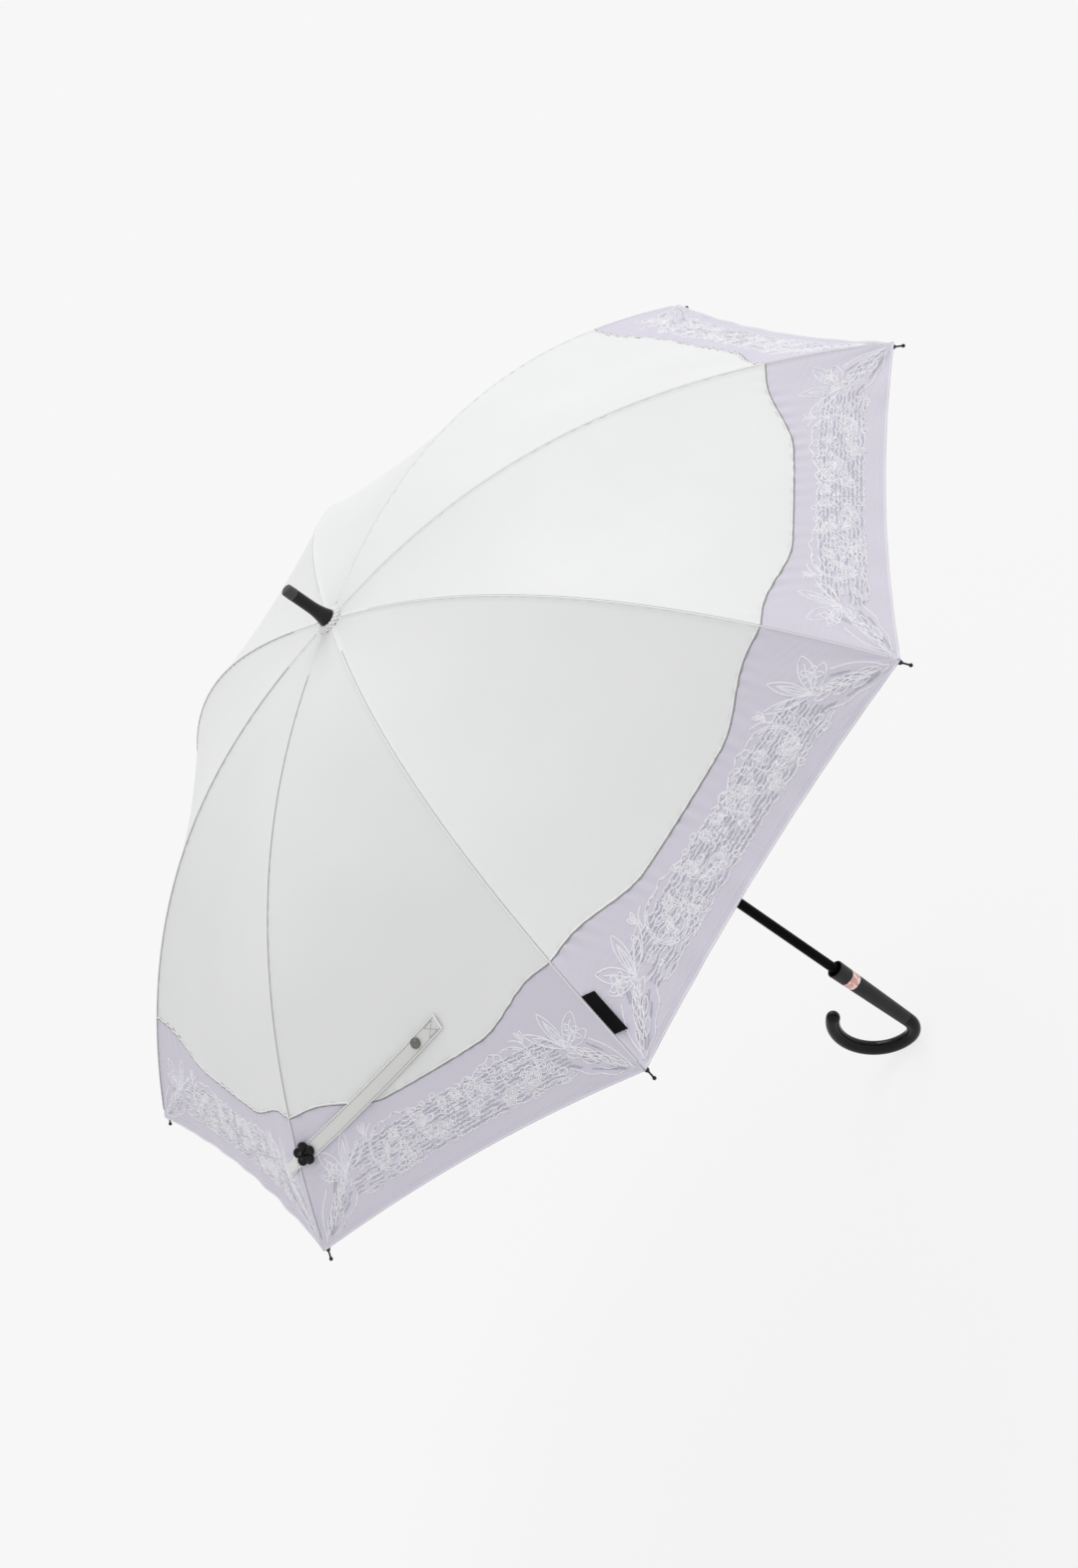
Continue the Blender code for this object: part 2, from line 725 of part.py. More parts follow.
def flower_mesh():
    """A button with five petals."""
    count = 40
    curve = bpy.data.curves.new("petals", "CURVE")
    curve.dimensions = "2D"
    curve.fill_mode = "BOTH"
    curve.extrude = 0.0008
    curve.bevel_depth = 0.0005
    curve.bevel_resolution = 0
    spline = curve.splines.new("POLY")
    spline.points.add(count - 1)
    for i, knot in enumerate(spline.points):
        angle = 2 * math.pi * i / count
        radius = 0.0075 * (1 + 0.15 * math.cos(5 * angle))
        knot.co = (radius * math.cos(angle), radius * math.sin(angle), 0, 1)
    spline.use_cyclic_u = True
    thing = working("petals", curve)
    bpy.context.view_layer.update()
    return baked(thing)


def build_trim(satin, steel, plastic, label_cloth):
    empty = hinge("strap_hinge", on_canopy(*STRAP_OVER_RIB, 0.0))
    world = Matrix.Identity(4)
    strap = ribbon(strap_path, STRAP_WIDTH, 34)
    hang(finish("strap", strap, satin), empty, world)
    snap = turned([(0, 0.0032), (0.0020, 0.0029), (0.0036, 0.0018), (0.0042, 0), (0, 0)], 20)
    snap.transform(on_canopy(*SNAP_AT, TRIM_LIFT + 0.0010))
    hang(finish("strap_snap", snap, steel), empty, world)
    flower = flower_mesh()
    flower.transform(on_canopy(*FLOWER_AT, TRIM_LIFT + 0.0032))
    finish("flower_button", flower, plastic)
    finish("label", ribbon(straight_path(LABEL_START, LABEL_END), LABEL_WIDTH, 4), label_cloth)


# ---------------------------------------------------------------- model

clear_scene()
PARTS = new_collection("lace_parasol")
BLACK_PLASTIC = make_material("black_plastic", (0.012, 0.012, 0.013), 0.25)
GREY_SATIN = make_material("grip_satin", (0.028, 0.030, 0.033), 0.45)
GLOSS = make_material("hook_gloss", (0.008, 0.008, 0.009), 0.12)
STEEL = make_material("steel", (0.42, 0.42, 0.43), 0.32, 1.0)
SHAFT_PAINT = make_material("shaft_paint", (0.014, 0.014, 0.015), 0.30)
CAP_PAINT = make_material("ferrule_cap_grey", (0.20, 0.20, 0.21), 0.40)
BAND_PRINT = make_material("band_print", (0.72, 0.52, 0.46), 0.35, 0.3)
WHITE = make_material("canopy_white", (0.86, 0.87, 0.87), 0.55)
LAVENDER = make_material("canopy_lavender", (0.68, 0.65, 0.76), 0.70)
STRAP_SATIN = make_material("strap_satin", (0.60, 0.60, 0.59), 0.45)
SNAP_STEEL = make_material("snap_steel", (0.10, 0.10, 0.11), 0.30, 1.0)
LABEL_CLOTH = make_material("label_cloth", (0.02, 0.02, 0.022), 0.80)

build_frame(STEEL, BLACK_PLASTIC)
build_hubs(BLACK_PLASTIC, STEEL)
build_shaft(SHAFT_PAINT, STEEL, BLACK_PLASTIC, CAP_PAINT, WHITE)
build_grip(GREY_SATIN, GLOSS, BAND_PRINT)
build_canopy(WHITE, LAVENDER)
build_trim(STRAP_SATIN, SNAP_STEEL, BLACK_PLASTIC, LABEL_CLOTH)
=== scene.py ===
import json
import math

import bmesh
import bpy
import numpy as np
from mathutils import Matrix, Vector


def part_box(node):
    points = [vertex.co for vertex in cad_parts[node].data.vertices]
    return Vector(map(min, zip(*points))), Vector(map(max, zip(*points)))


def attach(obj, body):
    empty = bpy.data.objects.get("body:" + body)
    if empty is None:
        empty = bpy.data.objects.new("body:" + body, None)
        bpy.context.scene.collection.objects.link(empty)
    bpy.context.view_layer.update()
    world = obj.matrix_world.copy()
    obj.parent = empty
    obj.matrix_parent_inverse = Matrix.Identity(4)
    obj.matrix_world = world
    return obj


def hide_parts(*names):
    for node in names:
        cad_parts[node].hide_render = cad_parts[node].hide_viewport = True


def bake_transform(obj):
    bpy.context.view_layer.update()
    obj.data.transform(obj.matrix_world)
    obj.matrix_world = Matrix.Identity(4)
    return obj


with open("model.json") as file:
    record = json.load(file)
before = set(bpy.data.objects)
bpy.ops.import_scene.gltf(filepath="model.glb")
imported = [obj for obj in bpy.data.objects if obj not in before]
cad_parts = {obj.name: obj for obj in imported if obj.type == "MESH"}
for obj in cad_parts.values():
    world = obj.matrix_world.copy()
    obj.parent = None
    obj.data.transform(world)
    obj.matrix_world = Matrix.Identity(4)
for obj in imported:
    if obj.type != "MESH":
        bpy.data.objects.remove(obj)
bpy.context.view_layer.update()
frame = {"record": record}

# Canopy, in metres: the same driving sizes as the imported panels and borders.
RIBS = 8
SECTOR = 2 * math.pi / RIBS
HALF = SECTOR / 2
CANOPY_RADIUS = 0.440
DOME_RISE = 0.197
DOME_POWER = 2.35
GORE_SAG = 0.02
HEM_RISE = 0.023
SEAM_AT_RIB = 0.830
SEAM_DROP = 0.032
CLOTH = 0.0003
SHAFT_R = 0.0044

JOINTS = {joint["name"]: joint for joint in frame["record"]["behaviour"]["joints"]}
CROWN_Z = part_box("rosette")[0][2] - 0.0003
HEM_Z = CROWN_Z - DOME_RISE
CROWN_PIVOT = Vector(JOINTS["rib_1_hinge"]["pos_m"])


# ---------------------------------------------------------------- materials

class Nodes:
    """A small helper that keeps a material's node code short."""

    def __init__(self, name, colour, roughness, metallic=0.0):
        self.material = bpy.data.materials.new(name)
        self.material.use_nodes = True
        self.tree = self.material.node_tree
        self.shader = self.tree.nodes["Principled BSDF"]
        self.set("Base Color", (*colour, 1.0))
        self.set("Roughness", roughness)
        self.set("Metallic", metallic)
        self.place = self.add("ShaderNodeTexCoord").outputs["Object"]

    def set(self, socket, value):
        self.shader.inputs[socket].default_value = value

    def add(self, kind, **values):
        node = self.tree.nodes.new(kind)
        for name, value in values.items():
            setattr(node, name, value)
        return node

    def link(self, a, b):
        self.tree.links.new(a, b)

    def noise(self, scale, detail=3.0, stretch=None):
        node = self.add("ShaderNodeTexNoise")
        node.inputs["Scale"].default_value = scale
        node.inputs["Detail"].default_value = detail
        source = self.place
        if stretch:
            mapping = self.add("ShaderNodeMapping")
            mapping.inputs["Scale"].default_value = stretch
            self.link(source, mapping.inputs["Vector"])
            source = mapping.outputs["Vector"]
        self.link(source, node.inputs["Vector"])
        return node.outputs["Fac"]

    def weave(self, pitch):
        """Crossed threads: the product of two fine wave bands."""
        waves = []
        for direction in ("X", "Y"):
            wave = self.add("ShaderNodeTexWave", bands_direction=direction)
            wave.inputs["Scale"].default_value = 1 / pitch / 3.2
            wave.inputs["Distortion"].default_value = 1.5
            wave.inputs["Detail Scale"].default_value = 2.0
            self.link(self.place, wave.inputs["Vector"])
            waves.append(wave.outputs["Fac"])
        return self.math("MULTIPLY", *waves)

    def math(self, operation, a, b):
        node = self.add("ShaderNodeMath", operation=operation)
        for socket, value in zip(node.inputs, (a, b)):
            if isinstance(value, (int, float)):
                socket.default_value = value
            else:
                self.link(value, socket)
        return node.outputs[0]

    def ramp(self, factor, *stops):
        node = self.add("ShaderNodeValToRGB")
        elements = node.color_ramp.elements
        while len(elements) < len(stops):
            elements.new(0.5)
        for element, (position, colour) in zip(elements, stops):
            element.position = position
            element.color = (*colour, 1.0)
        self.link(factor, node.inputs["Fac"])
        return node.outputs["Color"]

    def colour(self, socket):
        self.link(socket, self.shader.inputs["Base Color"])

    def roughness(self, factor, low, high):
        node = self.add("ShaderNodeMapRange")
        node.inputs["To Min"].default_value = low
        node.inputs["To Max"].default_value = high
        self.link(factor, node.inputs["Value"])
        self.link(node.outputs["Result"], self.shader.inputs["Roughness"])

    def bump(self, height, strength, distance):
        node = self.add("ShaderNodeBump")
        node.inputs["Strength"].default_value = strength
        node.inputs["Distance"].default_value = distance
        self.link(height, node.inputs["Height"])
        self.link(node.outputs["Normal"], self.shader.inputs["Normal"])


def shade(colour, factor):
    return tuple(min(1.0, c * factor) for c in colour)


def cloth_material(name, colour, roughness, sheen, pitch=0.0009, bump=0.25):
    m = Nodes(name, colour, roughness)
    m.colour(m.ramp(m.noise(9.0, 4.0), (0.25, shade(colour, 0.975)), (0.75, shade(colour, 1.015))))
    m.roughness(m.noise(40.0), roughness - 0.06, roughness + 0.06)
    m.set("Sheen Weight", sheen)
    m.set("Sheen Roughness", 0.45)
    m.bump(m.math("ADD", m.weave(pitch), m.noise(700.0, 2.0)), bump, 0.00012)
    return m.material


def thread_material(name, colour):
    m = Nodes(name, colour, 0.42)
    m.set("Sheen Weight", 0.25)
    m.colour(m.ramp(m.noise(260.0), (0.3, shade(colour, 0.93)), (0.7, shade(colour, 1.03))))
    m.bump(m.noise(1500.0, 2.0), 0.4, 0.0002)
    return m.material


def plastic_material(name, colour, roughness, gleam, coat=0.0, grain=900.0, strength=0.08):
    m = Nodes(name, colour, roughness)
    m.set("Specular IOR Level", gleam)
    m.set("Coat Weight", coat)
    m.set("Coat Roughness", 0.06)
    m.colour(m.ramp(m.noise(60.0), (0.3, shade(colour, 0.85)), (0.7, shade(colour, 1.2))))
    m.roughness(m.noise(35.0, 5.0), max(0.03, roughness - 0.05), roughness + 0.07)
    m.bump(m.noise(grain, 2.0), strength, 0.0001)
    return m.material


def steel_material(name, colour, roughness):
    m = Nodes(name, colour, roughness, 1.0)
    m.roughness(m.noise(120.0, 4.0), roughness - 0.08, roughness + 0.10)
    m.colour(m.ramp(m.noise(25.0), (0.3, shade(colour, 0.85)), (0.7, shade(colour, 1.1))))
    m.bump(m.noise(500.0, 2.0, (1, 1, 0.1)), 0.08, 0.0001)
    return m.material


def band_material():
    """Plain foil print: a noise marble of silver and copper pink."""
    m = Nodes("band_foil", (0.70, 0.50, 0.45), 0.30, 0.35)
    marble = m.noise(330.0, 3.0, (1, 1, 0.6))
    m.colour(m.ramp(
        marble, (0.34, (0.74, 0.74, 0.76)), (0.46, (0.80, 0.66, 0.63)),
        (0.54, (0.72, 0.27, 0.16)), (0.66, (0.62, 0.42, 0.50)),
    ))
    m.bump(marble, 0.1, 0.0001)
    return m.material


WHITE = cloth_material("canopy_white_cloth", (0.80, 0.81, 0.805), 0.55, 0.05)
LAVENDER = cloth_material("canopy_lavender_cloth", (0.655, 0.63, 0.72), 0.68, 0.08)
HEM_CLOTH = cloth_material("lavender_fold", (0.76, 0.745, 0.81), 0.65, 0.10, 0.0006)
PIPING = cloth_material("white_piping", (0.86, 0.865, 0.86), 0.55, 0.10, 0.0006)
THREAD = thread_material("lavender_thread", (0.85, 0.84, 0.885))
# Painted shadow: this dark lavender stands in for the shade inside the folds drawn in between the embroidery threads.
SHADE = thread_material("painted_fold_shadow", (0.46, 0.45, 0.53))
# Painted shade: the grey of the stitching line beside each rib's welt stands in for the shade beside the welt.
RIB_SHADE_STITCH = thread_material("rib_shade_stitch", (0.50, 0.50, 0.50))
# A dark grey for the thin line laid just below the scalloped seam, on the lavender side.
STITCH = thread_material("seam_grey_line", (0.28, 0.28, 0.28))
GREY_THREAD = thread_material("pale_grey_thread", (0.30, 0.30, 0.30))
SATIN = cloth_material("strap_satin_ribbon", (0.70, 0.70, 0.69), 0.34, 0.30, 0.0005, 0.35)
BLACK = plastic_material("moulded_black", (0.005, 0.005, 0.005), 0.22, 0.25, 0.10)
GLOSS = plastic_material("hook_black_gloss", (0.003, 0.003, 0.003), 0.14, 0.18, 0.10, 300.0, 0.03)
GRIP = plastic_material("grip_satin_grey", (0.018, 0.018, 0.019), 0.45, 0.25, 0.0, 1600.0, 0.25)
LABEL = plastic_material("black_woven_label", (0.007, 0.007, 0.008), 0.85, 0.05, 0.0, 1400.0, 0.6)
LABEL_EDGE = plastic_material("label_selvedge", (0.014, 0.014, 0.015), 0.85, 0.05, 0.0, 1800.0, 0.6)
CAP_GREY = plastic_material("ferrule_cap_grey_plastic", (0.060, 0.058, 0.058), 0.45, 0.3, 0.0, 700.0, 0.3)
SHAFT_PAINT = plastic_material("shaft_black_paint", (0.003, 0.003, 0.003), 0.36, 0.03)
FRAME_PAINT = plastic_material("frame_black_paint", (0.012, 0.012, 0.013), 0.35, 0.3)
STEEL = steel_material("bright_steel", (0.55, 0.55, 0.56), 0.28)
SNAP = steel_material("dark_nickel", (0.20, 0.19, 0.18), 0.25)
BAND = band_material()


# ---------------------------------------------------------------- mesh helpers

def new_piece(name, points, faces, material, body=None, smooth=True):
    mesh = bpy.data.meshes.new(name)
    mesh.from_pydata([tuple(p) for p in points], [], faces)
    mesh.materials.append(material)
    if smooth:
        mesh.shade_smooth()
    thing = bpy.data.objects.new(name, mesh)
    bpy.context.scene.collection.objects.link(thing)
    if body:
        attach(thing, body)
    return thing


def grid_faces(rows, columns, closed=False):
    """Quads of a grid whose points run row by row."""
    faces = []
    for i in range(rows - 1):
        for j in range(columns if closed else columns - 1):
            k = (j + 1) % columns
            a, b = i * columns + j, i * columns + k
            faces.append((a, b, b + columns, a + columns))
    return faces


def tidy_normals(thing):
    work = bmesh.new()
    work.from_mesh(thing.data)
    bmesh.ops.remove_doubles(work, verts=work.verts, dist=1e-7)
    bmesh.ops.recalc_face_normals(work, faces=work.faces)
    work.to_mesh(thing.data)
    work.free()


def smooth_by_angle(thing, degrees=40):
    thing.data.shade_smooth()
    thing.data.set_sharp_from_angle(angle=math.radians(degrees))


def rounded(profile, radius, steps=3):
    """Rounds the inner corners of an open (radius, z) outline."""
    points = [Vector(p) for p in profile]
    out = [points[0]]
    for before, corner, after in zip(points, points[1:], points[2:]):
        a, b = before - corner, after - corner
        cut = min(radius, a.length * 0.45, b.length * 0.45)
        start, end = corner + a.normalized() * cut, corner + b.normalized() * cut
        for i in range(steps + 1):
            t = i / steps
            out.append(start * (1 - t) ** 2 + corner * 2 * t * (1 - t) + end * t * t)
    out.append(points[-1])
    return out


def lathe(name, profile, material, body, segments=64, place=Matrix.Identity(4), radius=0.0004):
    """A turned piece; profile runs from the axis or back to its own start."""
    outline = rounded(profile, radius)
    points = []
    for x, z in outline:
        for j in range(segments):
            angle = 2 * math.pi * j / segments
            points.append(place @ Vector((x * math.cos(angle), x * math.sin(angle), z)))
    thing = new_piece(name, points, grid_faces(len(outline), segments, True), material)
    tidy_normals(thing)
    smooth_by_angle(thing)
    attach(thing, body)
    return thing


def sweep(name, path, radii, material, body=None, sides=12, up=(0, 0, 1)):
    """A round tube along a path of points, closed at both ends."""
    points, count = [], len(path)
    side = None
    for i, (centre, radius) in enumerate(zip(path, radii)):
        way = (path[min(i + 1, count - 1)] - path[max(i - 1, 0)]).normalized()
        if side is None:
            side = way.cross(Vector(up)).normalized()
        side = (side - way * side.dot(way)).normalized()
        other = way.cross(side)
        for j in range(sides):
            angle = 2 * math.pi * j / sides
            points.append(centre + (side * math.cos(angle) + other * math.sin(angle)) * radius)
    faces = grid_faces(count, sides, True)
    faces += [tuple(range(sides)), tuple(reversed(range((count - 1) * sides, count * sides)))]
    thing = new_piece(name, points, faces, material)
    tidy_normals(thing)
    smooth_by_angle(thing, 50)
    if body:
        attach(thing, body)
    return thing


# ---------------------------------------------------------------- canopy surface

def slack(angle):
    return 1 - (np.tan(angle) / math.tan(HALF)) ** 2


def gore(along, angle):
    """Points of a gore's outer face about its own mid line, which lies over +X."""
    radius = along * math.cos(HALF) / np.cos(angle)
    height = CROWN_Z - DOME_RISE * (along / CANOPY_RADIUS) ** DOME_POWER
    height = height - GORE_SAG * along * slack(angle)
    return np.stack([radius * np.cos(angle), radius * np.sin(angle), height], -1)


def lifted(along, angle, lift):
    """The same points moved out along the surface's normal."""
    here = gore(along, angle)
    down = gore(along + 1e-4, angle) - here
    across = gore(along, angle + 1e-3) - here
    normal = np.cross(down, across)
    normal /= np.linalg.norm(normal, axis=-1, keepdims=True)
    return here + normal * np.expand_dims(np.broadcast_to(lift, np.shape(along)), -1)


def seam_along(angle):
    t = np.clip((math.radians(20) - np.abs(angle)) / math.radians(12), 0, 1)
    return CANOPY_RADIUS * (SEAM_AT_RIB + SEAM_DROP * t * t * (3 - 2 * t))


def hem_along(angle):
    return CANOPY_RADIUS * (1 - HEM_RISE * np.clip(slack(angle), 0, 1))


def turned_about_z(points, azimuth):
    c, s = math.cos(azimuth), math.sin(azimuth)
    return points @ np.array([[c, s, 0], [-s, c, 0], [0, 0, 1]])


def waves(rng, u, v, across, along, count):
    """Seeded ripples whose crests run mostly along u; sizes are wavelengths in metres."""
    total = np.zeros(np.broadcast(u, v).shape)
    for _ in range(count):
        ku = 2 * math.pi / rng.uniform(*along) * rng.choice((-1, 1))
        kv = 2 * math.pi / rng.uniform(*across)
        total += np.sin(ku * u + kv * v + rng.uniform(0, 2 * math.pi))
    return total / math.sqrt(count / 2)


def bell(x, centre, width):
    return np.exp(-(((x - centre) / width) ** 2))


def step(x, edge, soft):
    return 1 / (1 + np.exp(-(x - edge) / soft))


def slope_length(along):
    """Length along a rib for each metre of its radius."""
    slope = DOME_RISE * DOME_POWER / CANOPY_RADIUS * (along / CANOPY_RADIUS) ** (DOME_POWER - 1)
    return np.sqrt(1 + slope * slope)


def gore_lengths(along, angle):
    """Distances over the cloth: from the mid line, the nearer rib, the seam and the hem."""
    middle = along * math.cos(HALF) * np.tan(angle)
    from_rib = along * math.sin(HALF) - np.abs(middle)
    scale = slope_length(along)
    return middle, from_rib, (along - seam_along(angle)) * scale, (hem_along(angle) - along) * scale


def panel_relief(along, angle, seed):
    """Seam allowance by the ribs, puckers at the stitching and slight tension folds."""
    rng = np.random.default_rng(seed)
    middle, from_rib, past_seam, _ = gore_lengths(along, angle)
    ridge = 0.00045 * step(-from_rib, -0.0024, 0.00035)
    run = waves(rng, from_rib, along, (0.008, 0.014), (0.06, 0.1), 3)
    by_rib = 0.00012 * np.exp(-from_rib / 0.010) * run
    by_seam = 0.00022 * np.exp(past_seam / 0.012) * waves(rng, along, middle, (0.010, 0.018), (0.05, 0.1), 4)
    pull = 0.00025 * waves(rng, middle, along, (0.09, 0.16), (0.15, 0.4), 3) * np.clip(from_rib / 0.1, 0, 1)
    return ridge + by_rib + by_seam + pull


def quilting(along, angle, seed):
    """How deep the cloth is drawn in between the stitched threads, and where."""
    rng = np.random.default_rng(seed + 50)
    middle, from_rib, _, from_hem = gore_lengths(along, angle)
    band = bell(from_hem, 0.034, 0.015) * np.clip((from_rib - 0.012) / 0.03, 0, 1)
    near_corner = bell(np.hypot(from_rib, from_hem), 0.055, 0.025) * 0.7
    return np.maximum(band, near_corner), waves(rng, middle, from_hem, (0.0042, 0.0070), (0.018, 0.040), 7)


def border_relief(along, angle, seed):
    """Hem, embroidery puckers, and folds that run out of the corner at the rib's tip."""
    rng = np.random.default_rng(seed)
    middle, from_rib, past_seam, from_hem = gore_lengths(along, angle)
    ridge = 0.00045 * step(-from_rib, -0.0024, 0.00035)
    hem = 0.00030 * step(-from_hem, -0.0062, 0.0003)
    groove = -0.00015 * bell(from_hem, 0.0056, 0.0004)
    band, drawn = quilting(along, angle, seed)
    quilt = 0.00012 * band * drawn
    pucker = 0.00030 * np.exp(-past_seam / 0.013) * waves(rng, from_hem, middle, (0.009, 0.016), (0.05, 0.1), 4)
    corner = np.hypot(from_rib, from_hem)
    spoke = np.arctan2(from_hem + 0.002, from_rib + 0.002)
    fan = np.sin(spoke * 15 + rng.uniform(0, 6)) * np.clip(corner / 0.02, 0, 1)
    folds = 0.0007 * np.exp(-corner / 0.05) * fan
    loose = 0.0005 * np.exp(-from_hem / 0.02) * waves(rng, from_hem, middle, (0.03, 0.06), (0.1, 0.2), 3)
    return ridge + hem + groove + (quilt + pucker + folds + loose) * np.clip(from_rib / 0.004, 0, 1)


def bend_with_fold(thing):
    """Cloth between a rib and the gore's folding mid line: bakes the object's transform into its mesh and reads its
    points, but turns nothing with its azimuth.
    """
    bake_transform(thing)
    count = len(thing.data.vertices)
    flat = np.empty(count * 3)
    thing.data.vertices.foreach_get("co", flat)
    return thing


def crisp_border(thing):
    """Keeps the open edges sharp, so that the thin rim doesn't tint the cloth beside it."""
    work = bmesh.new()
    work.from_mesh(thing.data)
    for edge in work.edges:
        edge.smooth = not edge.is_boundary
    work.to_mesh(thing.data)
    work.free()


def add_thickness(thing, thickness=CLOTH):
    shell = thing.modifiers.new("Solidify", "SOLIDIFY")
    shell.thickness = thickness
    shell.offset = -1.0


def half_grid(side, rows, columns, start, end):
    """Rib radius and angle of a half gore's grid: rows run down, columns from rib to middle."""
    f = np.linspace(0, 1, columns)
    f = f * (0.25 + 0.75 * f) / 1.0 if columns > 2 else f
    angle = side * np.arctan((1 - f) * math.tan(HALF))
    angle = np.broadcast_to(angle, (rows, columns))
    t = np.linspace(0, 1, rows)[:, None]
    low, high = start(angle), end(angle)
    return low + (high - low) * t, angle


def cloth_piece(name, gore_number, side, rows, columns, start, end, relief, material):
    along, angle = half_grid(side, rows, columns, start, end)
    points = lifted(along, angle, relief(along, angle, gore_number)).reshape(-1, 3)
    points = turned_about_z(points, (gore_number - 0.5) * SECTOR)
    faces = grid_faces(rows, columns)
    if side < 0:
        faces = [face[::-1] for face in faces]
    thing = new_piece(name, points, faces, material)
    crisp_border(thing)
    bend_with_fold(thing)
    add_thickness(thing)
    return thing


# ---------------------------------------------------------------- embroidery

def leaf(x, y, length, width, degrees, vein=True):
    """A long loop with an optional mid vein, in millimetres from its stalk."""
    t = (1 - np.cos(np.linspace(0, math.pi, 17))) / 2
    upper = np.stack([t * length, width / 2 * np.sin(math.pi * t**1.2) ** 0.75], -1)
    lower = upper[::-1] * (1, -1)
    lines = [np.vstack([upper, lower[1:]])]
    if vein:
        lines.append(np.stack([t * length * 0.8, 0.04 * width * np.sin(7 * t)], -1))
    c, s = math.cos(math.radians(degrees)), math.sin(math.radians(degrees))
    return [line @ np.array([[c, s], [-s, c]]) + (x, y) for line in lines]


def ring(x, y, radius, squash=1.0, turns=1.0, phase=0.0):
    t = np.linspace(0, 2 * math.pi * turns, int(26 * turns) + 4) + phase
    return [np.stack([x + radius * np.cos(t), y + radius * squash * np.sin(t)], -1)]


def blossom(x, y, radius, petals, phase=0.0):
    lines = ring(x, y, radius * 0.22)
    for i in range(petals):
        lines += leaf(x, y, radius, radius * 0.55, phase + 360 * i / petals, vein=False)
    return lines


def rose(x, y, radius, phase):
    t = np.linspace(0, 2 * math.pi * 3.2, 90)
    swirl = radius * (0.18 + 0.82 * t / t[-1]) * (1 + 0.10 * np.sin(5 * t + phase))
    return [np.stack([x + swirl * np.cos(t + phase), y + swirl * np.sin(t + phase)], -1)]


def tendril(start, end, bow, curls=0.0):
    a, b = np.array(start, float), np.array(end, float)
    t = np.linspace(0, 1, 22)[:, None]
    normal = np.array([-(b - a)[1], (b - a)[0]])
    return [a + (b - a) * t + normal * (bow * np.sin(math.pi * t) + curls * np.sin(5 * math.pi * t))]


def dense_band(rng, reach):
    """Rows of long wavy threads parallel to the hem, with small loops, rings and roses."""
    lines = []
    for row in range(12):
        v0 = 17 + row * 3.3
        u = rng.uniform(46, 62)
        while u < reach:
            end = min(u + rng.uniform(14, 34), reach)
            t = np.linspace(0, 1, 18)
            wave = v0 + rng.uniform(0.4, 1.4) * np.sin(t * rng.uniform(6, 16) + rng.uniform(0, 6))
            lines.append(np.stack([u + (end - u) * t, wave], -1))
            u = end + rng.uniform(-5, 7)
    for _ in range(34):
        u, v = rng.uniform(56, reach - 4), np.clip(rng.normal(38, 9), 17, 56)
        lines += ring(u, v, rng.uniform(2.0, 4.4), rng.uniform(0.5, 0.9), 1.0, rng.uniform(0, 6))
    for _ in range(10):
        u, v = rng.uniform(62, reach - 12), np.clip(rng.normal(38, 8), 20, 54)
        lines += leaf(u, v, rng.uniform(8, 14), rng.uniform(3.5, 5.5), rng.uniform(-30, 210))
    for u, v, radius in ((84, 30, 6.5), (115, 24, 7.0), (101, 46, 5.5), (133, 44, 6.5), (150, 30, 6.0), (161, 47, 5.5)):
        lines += rose(u, v, radius, u)
    return lines


def painted_fold_shadows(side):
    """Painted shadow strokes: dark dashes for the shade inside the short folds that the stitching draws in between the
    threads, parallel to the hem, and inside the folds that fan out of the corner.
    """
    rng = np.random.default_rng(23 if side < 0 else 29)
    lines = []
    for _ in range(200):
        u, v = rng.uniform(50, 168), 17 + 3.3 * rng.integers(0, 11) + 1.65
        half = rng.uniform(2.5, 6.0)
        t = np.linspace(-1, 1, 7)
        lines.append(np.stack([np.minimum(u + half * t, 168), v + 0.5 * np.sin(3 * t + u)], -1))
    for _ in range(26):
        t0, across = rng.uniform(0.25, 0.95), rng.uniform(-0.55, 0.55)
        t = t0 + np.linspace(-0.07, 0.07, 6)
        lines.append(np.stack([43 * t * (1 + 0.5 * across), 38 * t * (1 - 0.6 * across)], -1))
    return lines


def embroidery_lines(side):
    """The motifs of half a border: u runs from the rib to the middle, v up from the hem."""
    rng = np.random.default_rng(7 if side < 0 else 11)
    reach = 167.6
    lines = dense_band(rng, reach)
    heart = (43, 39)
    for length, width, degrees in ((37, 11, 131), (35, 10, 80), (28, 9, 158), (36, 8, 37)):
        lines += leaf(*heart, length, width, degrees + 5 * side, vein=width > 9)
    lines += leaf(*heart, 27, 6, 37 + 5 * side, vein=False) + leaf(*heart, 26, 5, 80 + 5 * side, vein=False)
    lines += blossom(29, 49, 8.5, 5, 20) + ring(29, 49, 2.8)
    lines += ring(92, 41, 19, 0.98, 0.84, 1.2) + ring(92, 41, 17.2, 0.98, 0.55, 1.9)
    lines += tendril((74, 52), (86, 64), 0.2) + leaf(76, 57, 12, 4, 120) + leaf(72, 60, 9, 3.5, 60)
    for t in range(7):
        u, v = 9 + t * 4.6, 8 + t * 4.4
        lines += leaf(u, v, 15, 5.5, 62 - 10 * (t % 3), vein=False)
        if t % 2:
            lines += leaf(u + 3, v - 1, 13, 4.6, 26, vein=False)
    lines += tendril((5, 5), heart, 0.10, 0.02) + tendril((7, 4), (52, 24), -0.08, 0.02)
    lines += tendril((6, 7), (20, 40), 0.12) + tendril((90, 58), (130, 55), 0.08, 0.03)
    lines += tendril((126, 55), (reach, 53), -0.05, 0.03) + tendril((60, 18), (118, 15), 0.03, 0.02)
    return lines


def border_place(u, v, side):
    """Rib radius and angle of an embroidery point given in millimetres."""
    width = CANOPY_RADIUS * math.sin(HALF)
    f = np.clip(u / 1000 / width, 0.012, 1.0)
    angle = side * np.arctan((1 - f) * math.tan(HALF))
    hem = hem_along(angle)
    return hem - v / 1000 / slope_length(hem), angle


